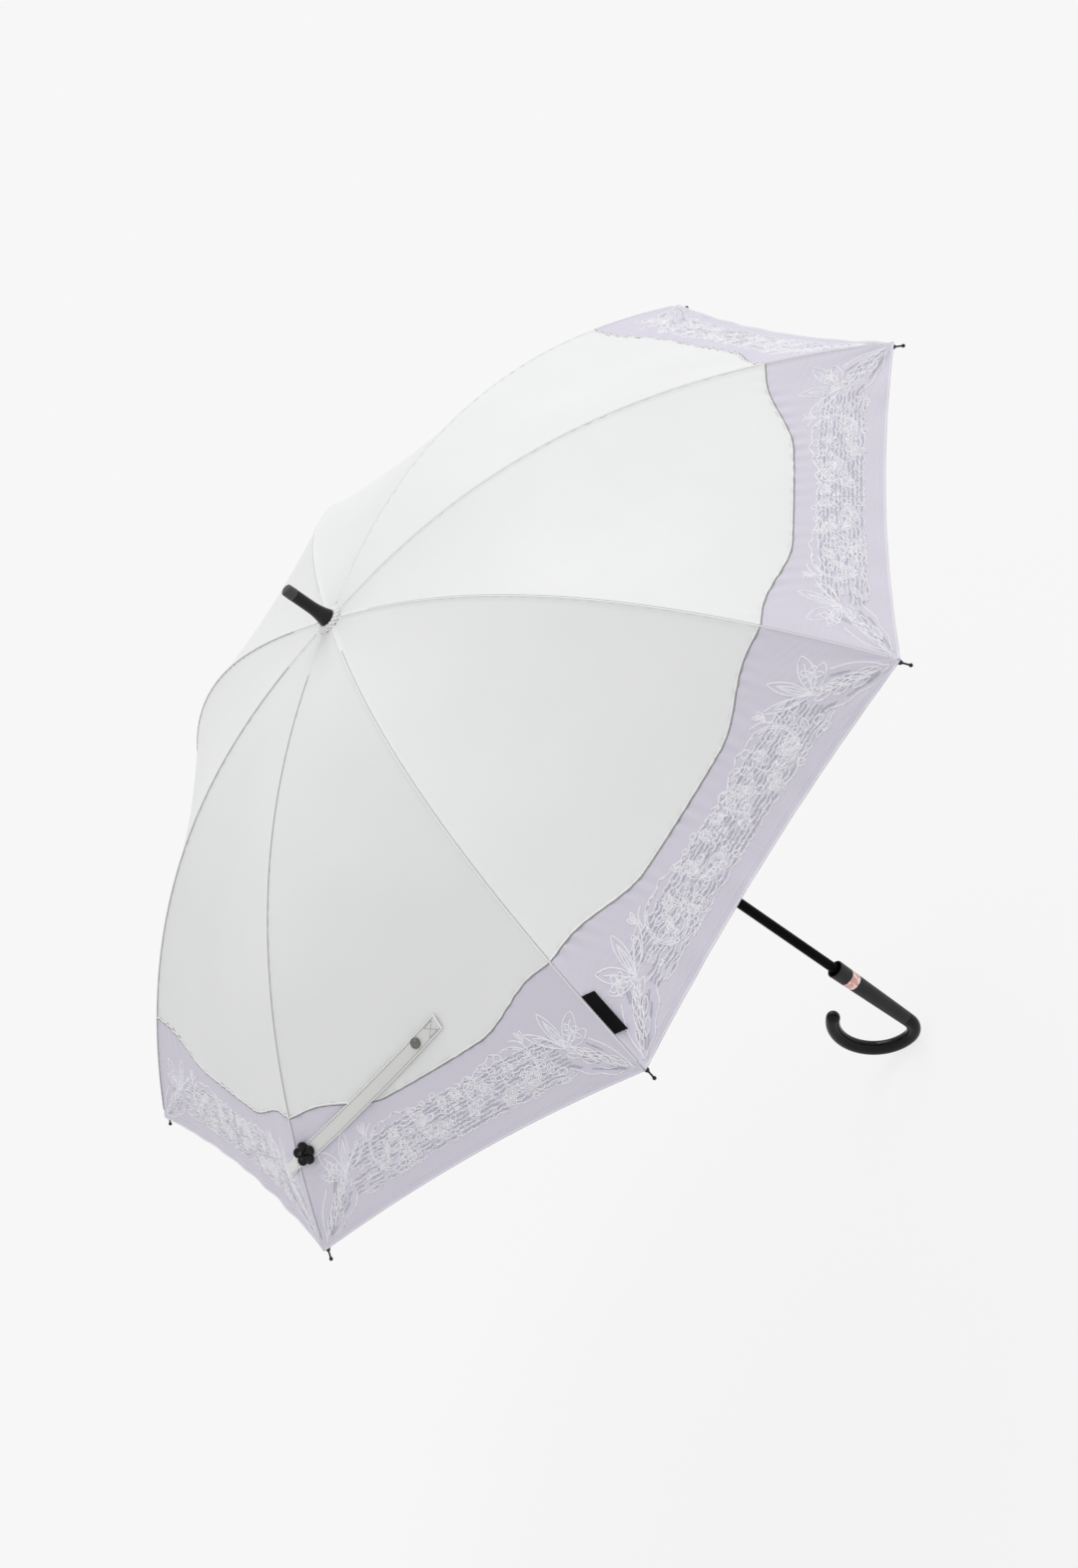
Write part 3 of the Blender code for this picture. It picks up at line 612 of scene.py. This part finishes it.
def threads_and_shade_strokes(name, gore_number, side, lines, width, low, high, material):
    """Raised threads, and also the painted shadow strokes of the drawn folds: each line is a low ridge whose edges meet
    the cloth.
    """
    everything = np.vstack(lines)
    along, angle = border_place(everything[:, 0], everything[:, 1], side)
    base = border_relief(along, angle, gore_number)
    points, faces, first = [], [], 0
    for line in lines:
        count = len(line)
        a, g, lift = (x[first:first + count] for x in (along, angle, base))
        first += count
        centre, crest = lifted(a, g, lift + low), lifted(a, g, lift + high)
        way = np.gradient(centre, axis=0)
        cross = np.cross(way, lifted(a, g, lift + low + 0.001) - centre)
        cross *= width / np.maximum(np.linalg.norm(cross, axis=1, keepdims=True), 1e-9)
        start = len(points)
        for i in range(count):
            points += [centre[i] - cross[i], crest[i] - cross[i] * 0.4, crest[i] + cross[i] * 0.4, centre[i] + cross[i]]
        for i in range(count - 1):
            p = start + 4 * i
            faces += [(p + k, p + k + 1, p + k + 5, p + k + 4) for k in range(3)]
    points = turned_about_z(np.array(points), (gore_number - 0.5) * SECTOR)
    thing = new_piece(name, points, faces, material)
    tidy_up_faces(thing)
    bend_with_fold(thing)
    return thing


def tidy_up_faces(thing):
    """Turns every face of an open trim so that it looks outward, away from the shaft."""
    work = bmesh.new()
    work.from_mesh(thing.data)
    for face in work.faces:
        face.normal_update()
        if face.normal.z < 0:
            face.normal_flip()
    work.to_mesh(thing.data)
    work.free()


def edging(name, gore_number, side, line, offset, lift, width, material, rows=70):
    """A narrow raised trim that follows the scalloped seam or the hem."""
    f = np.linspace(0.004, 1, rows)
    angle = side * np.arctan((1 - f) * math.tan(HALF))
    base = line(angle)
    profile = [(-0.5, 0.0), (-0.35, 0.7), (0.0, 1.0), (0.35, 0.7), (0.5, 0.0)]
    points = []
    for across, height in profile:
        along = base + (offset + across * width) / slope_length(base)
        under = border_relief(along, angle, gore_number)
        if line is seam_along:
            under = np.maximum(under, panel_relief(along, angle, gore_number))
        points.append(lifted(along, angle, under + lift * height))
    points = turned_about_z(np.array(points).reshape(-1, 3), (gore_number - 0.5) * SECTOR)
    thing = new_piece(name, points, grid_faces(len(profile), rows), material)
    tidy_up_faces(thing)
    return bend_with_fold(thing)


def rib_strip(name, number, profile, start, end, material):
    """A strip along a rib's crest; the profile holds (sideways, height) pairs."""
    rows = 70
    along = np.linspace(start, end, rows)
    points = []
    for sideways, height in profile:
        crest = gore(along, np.full(rows, -HALF))
        slope = -DOME_RISE * DOME_POWER / CANOPY_RADIUS * (along / CANOPY_RADIUS) ** (DOME_POWER - 1)
        normal = np.stack([-slope, np.zeros(rows), np.ones(rows)], -1) / np.hypot(1, slope)[:, None]
        centre = turned_about_z(crest, HALF) + normal * height + np.array([0, sideways, 0])
        points.append(turned_about_z(centre, (number - 1) * SECTOR))
    points = np.array(points).reshape(-1, 3)
    thing = new_piece(name, points, grid_faces(len(profile), rows), material)
    tidy_up_faces(thing)
    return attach(thing, f"rib_{number}")


def rib_welt(number):
    """The welt of the seam over a rib, in a lighter cloth as a painted highlight, with a line of stitching beside it
    whose grey is painted shade.
    """
    rim, seam = 0.986 * CANOPY_RADIUS, SEAM_AT_RIB * CANOPY_RADIUS
    ridge = [(-0.0007, 0.0003), (-0.0005, 0.0009), (0.0, 0.0011), (0.0005, 0.0009), (0.0007, 0.0003)]
    groove = [(0.0006, 0.0007), (0.0009, 0.0009), (0.0012, 0.0006)]
    # Painted highlight: the welt takes the lighter piping and lavender fold cloths for the light along its crest.
    for zone, start, end, cloth, slot_name in (
        ("white", 0.016, seam, PIPING, "canopy_white"), ("lavender", seam, rim, HEM_CLOTH, "canopy_lavender"),
    ):
        rib_strip(f"rib_welt_{zone}_{number}", number, ridge, start, end, cloth)
    # Painted shade: a grey stitching strip on one side of the welt, where the welt's shade falls.
    rib_strip(f"rib_stitching_{number}", number, groove, 0.05, rim, RIB_SHADE_STITCH)


def build_canopy():
    inner = SHAFT_R + 0.0022
    patterns = {side: embroidery_lines(side) for side in (-1, 1)}
    # The drawn folds are painted shadow strokes: dark lines where the folds' shade falls.
    folds = {side: painted_fold_shadows(side) for side in (-1, 1)}
    for number in range(1, RIBS + 1):
        for side, tag in ((-1, "a"), (1, "b")):
            panel = cloth_piece(
                f"canopy_panel_{number}_{tag}", number, side, 70, 26,
                lambda angle: np.full(angle.shape, inner), seam_along,
                panel_relief, WHITE,
            )
            border = cloth_piece(
                f"canopy_border_{number}_{tag}", number, side, 96, 100,
                seam_along, hem_along, border_relief, LAVENDER,
            )
            if side < 0:
                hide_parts(f"panel_{number}")
                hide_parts(f"border_{number}")
            threads_and_shade_strokes(
                f"embroidery_{number}_{tag}", number, side, patterns[side], 0.00055, 0.00002, 0.00036, THREAD,
            )
            # Painted shadow: dark strokes laid where the shade inside the drawn folds falls.
            threads_and_shade_strokes(
                f"painted_fold_shadows_{number}_{tag}", number, side, folds[side], 0.0006, 0.00003, 0.00012, SHADE,
            )
            for kind, line, offset, lift, width, material, slot_name in (
                ("scallop_edge", seam_along, -0.0010, 0.0006, 0.0016, PIPING, "canopy_white"),
                # A thin dark grey line laid just below the seam, on the lavender side.
                ("scallop_grey_line", seam_along, 0.0003, 0.0004, 0.0008, STITCH, "canopy_lavender"),
                ("hem_fold", hem_along, -0.0009, 0.0004, 0.0017, HEM_CLOTH, "canopy_lavender"),
                ("hem_stitch", hem_along, -0.0058, 0.0003, 0.0005, HEM_CLOTH, "canopy_lavender"),
            ):
                trim = edging(f"{kind}_{number}_{tag}", number, side, line, offset, lift, width, material)
        rib_welt(number)


# ---------------------------------------------------------------- crown and ferrule

def build_crown():
    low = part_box("ferrule")[0][2]
    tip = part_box("ferrule")[1][2]
    flare = [(0.0046, tip), (0.0050, tip - 0.0006)]
    for i in range(11):
        t = i / 10
        flare.append((0.0050 + 0.0025 * t**2.3, low + 0.0010 + 0.0180 * (1 - t)))
    flare += [(0.0074, low), (0.0047, low), (0.0047, low + 0.010)]
    ferrule = lathe("ferrule_body", flare, BLACK, "root", radius=0.0003)
    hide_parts("ferrule")
    base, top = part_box("ferrule_cap")[0][2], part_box("ferrule_cap")[1][2]
    cap = lathe("ferrule_end_cap", [
        (0, top), (0.0038, top), (0.0049, top - 0.0008), (0.0051, base + 0.0004), (0.0050, base), (0, base),
    ], CAP_GREY, "root")
    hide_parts("ferrule_cap")
    for layer, (reach, folds, height, phase) in enumerate(((0.0123, 17, 0.0003, 0.0), (0.0104, 15, 0.0012, 1.1))):
        rosette_layer(layer, reach, folds, CROWN_Z + height, phase)


def rosette_layer(layer, reach, folds, height, phase):
    """A gathered ring of cloth whose pleats deepen towards its rim."""
    rows, columns = 10, folds * 12
    points = []
    for i in range(rows):
        t = i / (rows - 1)
        for j in range(columns):
            angle = 2 * math.pi * j / columns
            pleat = math.cos(folds * angle + phase + 0.5 * math.sin(3 * angle))
            radius = 0.0048 + (reach - 0.0048) * t * (1 + 0.06 * pleat)
            rise = 0.0009 * (1 - t) + 0.0009 * math.sin(math.pi * t) + 0.0007 * t * pleat
            points.append((radius * math.cos(angle), radius * math.sin(angle), height + rise))
    thing = new_piece(f"rosette_layer_{layer + 1}", points, grid_faces(rows, columns, True), PIPING, "root")
    tidy_up_faces(thing)
    shell = thing.modifiers.new("Solidify", "SOLIDIFY")
    shell.thickness, shell.offset = 0.00025, 0.0
    if layer == 0:
        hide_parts("rosette")


# ---------------------------------------------------------------- grip

def build_grip():
    lower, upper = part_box("grip_sleeve")
    low, top = lower[2], upper[2]
    wide, narrow = 0.0081, 0.0063
    taper = (wide - narrow) / (top - low)

    def outer(z):
        return narrow + taper * (z - low)

    band_low, band_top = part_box("grip_band")[0][2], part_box("grip_band")[1][2]
    bore = SHAFT_R + 0.0003
    profile = [
        (bore, top - 0.040), (bore, top - 0.0115), (bore + 0.0008, top - 0.0105), (wide - 0.0011, top - 0.0080),
        (wide - 0.0010, top), (wide, top),
    ]
    steps = 10
    for i in range(steps):
        z = top - 0.002 - (top - 0.002 - band_top) * (i + 1) / steps
        profile.append((outer(z), z))
    profile += [(outer(band_top) - 0.0005, band_top), (outer(band_low) - 0.0005, band_low)]
    for i in range(steps):
        z = band_low - (band_low - low - 0.0005) * i / steps
        profile.append((outer(z), z))
    profile += [(narrow, low), (0, low)]
    sleeve = lathe("grip_sleeve_skin", profile, GRIP, "root", 72, radius=0.0003)
    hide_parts("grip_sleeve")
    band = lathe("grip_foil_band", [
        (outer(band_top) - 0.0005, band_top), (outer(band_top) + 0.00005, band_top - 0.0001),
        (outer(band_low) + 0.00005, band_low + 0.0001), (outer(band_low) - 0.0005, band_low),
    ], BAND, "root", 72, radius=0.0001)
    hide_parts("grip_band")
    build_hook(low)


def build_hook(start_z):
    """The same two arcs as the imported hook, swept with a finer section and a round end."""
    azimuth, thickness = math.radians(-19.4), 0.0063
    x, z, heading = 0.0, start_z - 0.004, 0.0
    plan = [(0.0, start_z - 0.0004), (0.0, start_z - 0.0020)]
    for radius, sweep_angle in ((0.0174, math.radians(80)), (0.0374, math.radians(150.5))):
        steps = round(sweep_angle / math.radians(4))
        for _ in range(steps):
            heading += sweep_angle / steps / 2
            step = 2 * radius * math.sin(sweep_angle / steps / 2)
            x, z = x + step * math.sin(heading), z - step * math.cos(heading)
            heading += sweep_angle / steps / 2
            plan.append((x, z))
    path = [Vector((px * math.cos(azimuth), px * math.sin(azimuth), pz)) for px, pz in plan]
    radii = [thickness] * len(path)
    way, last = (path[-1] - path[-2]).normalized(), path[-1]
    for t in (0.2, 0.4, 0.6, 0.75, 0.87, 0.95, 0.99):
        path.append(last + way * thickness * t)
        radii.append(thickness * math.sqrt(1 - t * t))
    thing = sweep("hook_skin", path, radii, GLOSS, "root", 40, (math.sin(azimuth), -math.cos(azimuth), 0))
    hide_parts("hook")


# ---------------------------------------------------------------- frame details

def build_frame_details():
    rivet = [(0, 0.0030), (0.0009, 0.0029), (0.0015, 0.0024), (0.0016, 0.00232), (0, 0.00232)]
    tip_profile = [
        (0, 0.0120), (0.0008, 0.0118), (0.00145, 0.0110), (0.00155, 0.0103), (0.0013, 0.0095),
        (0.00075, 0.0090), (0.0007, 0.0052), (0.0009, 0.0044), (0.0017, 0.0036),
        (0.0019, 0.0025), (0.00195, 0.0), (0, 0),
    ]
    end = 0.990 * CANOPY_RADIUS
    slope = -DOME_RISE * DOME_POWER / CANOPY_RADIUS * 0.990 ** (DOME_POWER - 1)
    way = Vector((1, 0, slope)).normalized()
    drop = 0.0030 * math.hypot(1, slope)
    height = HEM_Z + DOME_RISE * (1 - 0.990**DOME_POWER) - drop
    at_end = Matrix.Translation(Vector((end, 0, height)) + way * 0.0003)
    at_end = at_end @ way.to_track_quat("Z", "Y").to_matrix().to_4x4()
    for k in range(1, RIBS + 1):
        spin = Matrix.Rotation((k - 1) * SECTOR, 4, "Z")
        tip = lathe(f"rib_end_{k}", tip_profile, BLACK, f"rib_{k}", 28, spin @ at_end, 0.0002)
        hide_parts(f"rib_tip_{k}")
        pivot = Matrix.Translation(JOINTS[f"stretcher_{k}_hinge"]["pos_m"])
        for side in (-1, 1):
            turn = spin @ Matrix.Rotation(side * math.pi / 2, 4, "X")
            lathe(f"rivet_{k}_{'a' if side < 0 else 'b'}", rivet, STEEL, f"stretcher_{k}", 20, pivot @ turn, 0.0001)
        rib_ties(k, spin)


def rib_ties(k, spin):
    """Loops of thread that hold the cloth's seam to its rib."""
    for number, part in enumerate((0.22, 0.60, 0.86)):
        radius = part * CANOPY_RADIUS
        slope = -DOME_RISE * DOME_POWER / CANOPY_RADIUS * part ** (DOME_POWER - 1)
        top = HEM_Z + DOME_RISE * (1 - part**DOME_POWER)
        way = Vector((1, 0, slope)).normalized()
        normal = Vector((-slope, 0, 1)).normalized()
        centre = Vector((radius, 0, top)) - normal * 0.0024
        path = []
        for i in range(34):
            angle = 2 * math.pi * i / 15
            loop = normal * 0.0021 * math.cos(angle) + Vector((0, 1, 0)) * 0.0018 * math.sin(angle)
            path.append(spin @ (centre + loop + way * (i - 17) * 0.00004))
        sweep(f"rib_tie_{k}_{number + 1}", path, [0.00018] * len(path), PIPING, f"rib_{k}", 6)


# ---------------------------------------------------------------- strap, button, snap and label

def canopy_place(x, y, lift):
    """A point over the plan point (x, y), and the surface's normal there."""
    number = int((math.atan2(y, x) % (2 * math.pi)) // SECTOR)
    middle = (number + 0.5) * SECTOR
    angle = math.atan2(y, x) - middle
    angle = (angle + math.pi) % (2 * math.pi) - math.pi
    along = math.hypot(x, y) * math.cos(angle) / math.cos(HALF)
    here = lifted(np.array([along]), np.array([angle]), np.array([lift]))
    base = lifted(np.array([along]), np.array([angle]), np.array([lift - 0.001]))
    here, base = (Vector(turned_about_z(p, middle)[0]) for p in (here, base))
    return here, (here - base).normalized()


def polar(radius, degrees):
    angle = math.radians(degrees)
    return Vector((radius * math.cos(angle), radius * math.sin(angle)))


def beside(plan, side, distance):
    """The plan point that lies a distance over the cloth to one side of another."""
    step = 0.002
    ahead, behind = (canopy_place(*(plan + side * x), 0.0)[0].z for x in (step, -step))
    return plan + side * (distance / math.hypot(1, (ahead - behind) / (2 * step)))


def straight_path(start, end):
    return lambda v: (start + (end - start) * v, (end - start).normalized())


STRAP_START, STRAP_OVER_RIB, STRAP_END = polar(0.3896, 41.1), polar(0.3896, 45.0), polar(0.3302, 71.8)
STRAP_WIDTH, STRAP_LENGTH, STRAP_CORNER, STRAP_LIFT = 0.0122, 0.212, 0.010, 0.0018
STRAP_RUNS = ((STRAP_OVER_RIB - STRAP_START).length, (STRAP_END - STRAP_OVER_RIB).length)


def strap_path(v):
    """Two straight runs on the plan that meet over the rib in a rounded corner."""
    before = (STRAP_OVER_RIB - STRAP_START).normalized()
    after = (STRAP_END - STRAP_OVER_RIB).normalized()
    past = v * sum(STRAP_RUNS) - STRAP_RUNS[0]
    t = min(1, max(0, (past + STRAP_CORNER) / (2 * STRAP_CORNER)))
    if 0 < t < 1:
        plan = STRAP_OVER_RIB + (after * t**2 - before * (1 - t) ** 2) * STRAP_CORNER
    else:
        plan = STRAP_OVER_RIB + (before * (1 - t) + after * t) * past
    return plan, (before * (1 - t) + after * t).normalized()


def ribbon(name, path, width, lift, thickness, rows, columns, relief, material, edge_material, edge):
    """A flat band that follows the canopy; its outer columns take the edge material."""
    points = []
    for i in range(rows):
        t = i / (rows - 1)
        middle, way = path(t)
        side = Vector((-way.y, way.x))
        for j in range(columns):
            s = 2 * j / (columns - 1) - 1
            plan = beside(middle, side, width / 2 * s)
            points.append(canopy_place(plan.x, plan.y, lift + relief(t, s))[0])
    thing = new_piece(name, points, grid_faces(rows, columns), material)
    tidy_up_faces(thing)
    thing.data.materials.append(edge_material)
    for face in thing.data.polygons:
        column = face.index % (columns - 1)
        row = face.index // (columns - 1)
        if min(column, columns - 2 - column) < edge or row in (0, rows - 2):
            face.material_index = 1
    shell = thing.modifiers.new("Solidify", "SOLIDIFY")
    shell.thickness, shell.offset = thickness, -1.0
    return thing


def loosely(thing):
    """The strap is sewn down at its rib; this only bakes its transform into the mesh, and bends nothing away past the
    button.
    """
    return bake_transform(thing)


def strap_relief(t, s):
    """Light piping along both edges, a slight crown and a slack wave."""
    piping = 0.00030 * math.exp(-(((abs(s) - 0.93) / 0.05) ** 2))
    crown = 0.0004 * (1 - s * s)
    ripple = 0.0003 * math.sin(t * 21) * s + 0.0006 * math.sin(math.pi * t) ** 2
    return piping + crown + ripple


def build_strap():
    strap = ribbon(
        "tie_strap", strap_path, STRAP_WIDTH, STRAP_LIFT, 0.0005, 150, 29, strap_relief, SATIN, PIPING, 2,
    )
    loosely(strap)
    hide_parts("strap")
    strap_stitches()
    build_snap()
    build_flower()


def strap_stitches():
    """A sewn box across the strap's free end, and a line of dashes along both edges."""
    length = sum(STRAP_RUNS)
    corners = [(0.004, -0.0040), (0.004, 0.0040), (0.014, 0.0040), (0.014, -0.0040)]
    runs = [(corners[i], corners[(i + 1) % 4]) for i in range(4)] + [(corners[0], corners[2]), (corners[1], corners[3])]
    dashes = []
    for (a0, b0), (a1, b1) in runs:
        count = max(2, round(math.hypot(a1 - a0, b1 - b0) / 0.0022))
        for i in range(count):
            lo, hi = (i + 0.12) / count, (i + 0.88) / count
            dashes.append([(length - a0 - (a1 - a0) * t, b0 + (b1 - b0) * t) for t in (lo, hi)])
    for edge in (-0.0049, 0.0049):
        for i in range(int(length / 0.0026) - 1):
            dashes.append([(0.0015 + i * 0.0026, edge), (0.0036 + i * 0.0026, edge)])
    points, faces = [], []
    for dash in dashes:
        for a, b in dash:
            middle, way = strap_path(a / length)
            side = Vector((-way.y, way.x))
            rise = STRAP_LIFT + strap_relief(a / length, b / (STRAP_WIDTH / 2)) + 0.00020
            for width in (-0.00022, 0.00022):
                spot = beside(middle, side, b + width)
                points.append(canopy_place(spot.x, spot.y, rise)[0])
        k = len(points) - 4
        faces.append((k, k + 1, k + 3, k + 2))
    thing = new_piece("strap_stitching", points, faces, GREY_THREAD, smooth=False)
    tidy_up_faces(thing)
    loosely(thing)


def facing(plan, lift):
    here, normal = canopy_place(plan.x, plan.y, lift)
    return Matrix.Translation(here) @ normal.to_track_quat("Z", "Y").to_matrix().to_4x4()


def build_snap():
    place = facing(polar(0.3333, 67.2), 0.0026)
    snap = lathe("snap_cap", [
        (0, 0.0030), (0.0014, 0.0029), (0.0026, 0.0024), (0.0030, 0.0019), (0.0032, 0.0021),
        (0.0041, 0.0016), (0.0043, 0.0008), (0.0041, 0), (0, 0),
    ], SNAP, "strap", 48, place, 0.0002)
    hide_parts("strap_snap")


def build_flower():
    """Five domed petals round a small dished centre."""
    place = facing(polar(0.3837, 46.3), 0.0032)
    rows, columns = 16, 100
    points = []
    for i in range(rows):
        t = i / (rows - 1)
        for j in range(columns):
            angle = 2 * math.pi * j / columns
            petal = abs(math.cos(2.5 * angle))
            radius = 0.0094 * (0.70 + 0.30 * petal**0.6) * math.sin(math.pi / 2 * min(1.0, t * 1.15))
            rise = 0.0030 * math.cos(math.pi / 2 * t**2.2) * (0.62 + 0.38 * petal)
            centre = 0.0007 * math.exp(-((t / 0.22) ** 2)) - 0.0009 * math.exp(-(((t - 0.34) / 0.10) ** 2))
            points.append(place @ Vector((radius * math.cos(angle), radius * math.sin(angle), rise + centre)))
    faces = grid_faces(rows, columns, True)
    faces.append(tuple(range((rows - 1) * columns, rows * columns)))
    flower = new_piece("flower_button_petals", points, faces, GLOSS)
    tidy_normals(flower)
    smooth_by_angle(flower, 60)
    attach(flower, "rib_2")
    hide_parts("flower_button")


def build_label():
    start, end = polar(0.3905, 90.8), polar(0.4165, 90.75)

    def relief(t, s):
        return 0.0004 * (1 - s * s) + 0.00010 * math.sin(t * 60)

    label = ribbon(
        "woven_label", straight_path(start, end), 0.0100, 0.0014, 0.0004, 40, 13, relief, LABEL, LABEL_EDGE, 1,
    )
    bend_with_fold(label)
    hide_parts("label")


# ---------------------------------------------------------------- kept nodes

def dress_cad():
    kept = {
        "shaft": SHAFT_PAINT, "crown_notch": BLACK, "runner": BLACK, "crown_wire": STEEL,
        "runner_wire": STEEL, "stop_ring": STEEL, "top_catch": STEEL, "lower_catch": STEEL,
    }
    for k in range(1, RIBS + 1):
        kept[f"rib_{k}"] = kept[f"stretcher_{k}"] = FRAME_PAINT
    for name, material in kept.items():
        for slot in bpy.data.objects[name].material_slots:
            slot.material = material


# ---------------------------------------------------------------- stage, light and camera

def build_stage():
    m = Nodes("pale_floor", (0.15, 0.15, 0.15), 0.9)
    m.set("Specular IOR Level", 0.0)
    m.set("Emission Color", (1.0, 1.0, 1.0, 1.0))
    m.set("Emission Strength", 0.78)
    size = 30.0
    corners = [(-size, -size, -0.001), (size, -size, -0.001), (size, size, -0.001), (-size, size, -0.001)]
    new_piece("floor", corners, [(0, 1, 2, 3)], m.material, smooth=False)


def build_light():
    """Nearly even studio light, a little stronger from above and behind."""
    world = bpy.data.worlds.new("studio")
    bpy.context.scene.world = world
    world.use_nodes = True
    world.node_tree.nodes["Background"].inputs["Color"].default_value = (1.0, 1.0, 1.0, 1.0)
    world.node_tree.nodes["Background"].inputs["Strength"].default_value = 0.79
    light = bpy.data.lights.new("key", "SUN")
    light.energy, light.angle = 1.0, math.radians(35)
    thing = bpy.data.objects.new("key", light)
    bpy.context.scene.collection.objects.link(thing)
    thing.rotation_euler = Vector((0.44, 0.56, -0.70)).to_track_quat("-Z", "Y").to_euler()
    bpy.context.scene.view_settings.view_transform = "Standard"


def build_camera():
    """The view looks down past the ferrule, rolled so that the shaft slants across the picture."""
    right = Vector((-0.6630573, 0.21325232, -0.71755033))
    up = Vector((-0.69975553, -0.5170534, 0.49294825))
    forward = Vector((0.26588948, -0.82896274, -0.49206052))
    lens_mm, sensor_mm = 76.63, 36.0
    camera = bpy.data.cameras.new("camera")
    camera.lens, camera.sensor_width = lens_mm, sensor_mm
    thing = bpy.data.objects.new("camera", camera)
    bpy.context.scene.collection.objects.link(thing)
    eye = Vector((-1.5976164, 5.07675359, 2.92162756)) * CANOPY_RADIUS + Vector((0, 0, HEM_Z))
    axes = Matrix((right, up, -forward)).transposed().to_4x4()
    thing.matrix_world = Matrix.Translation(eye) @ axes
    bpy.context.scene.camera = thing


build_canopy()
build_crown()
build_grip()
build_frame_details()
build_strap()
build_label()
dress_cad()
build_stage()
build_light()
build_camera()
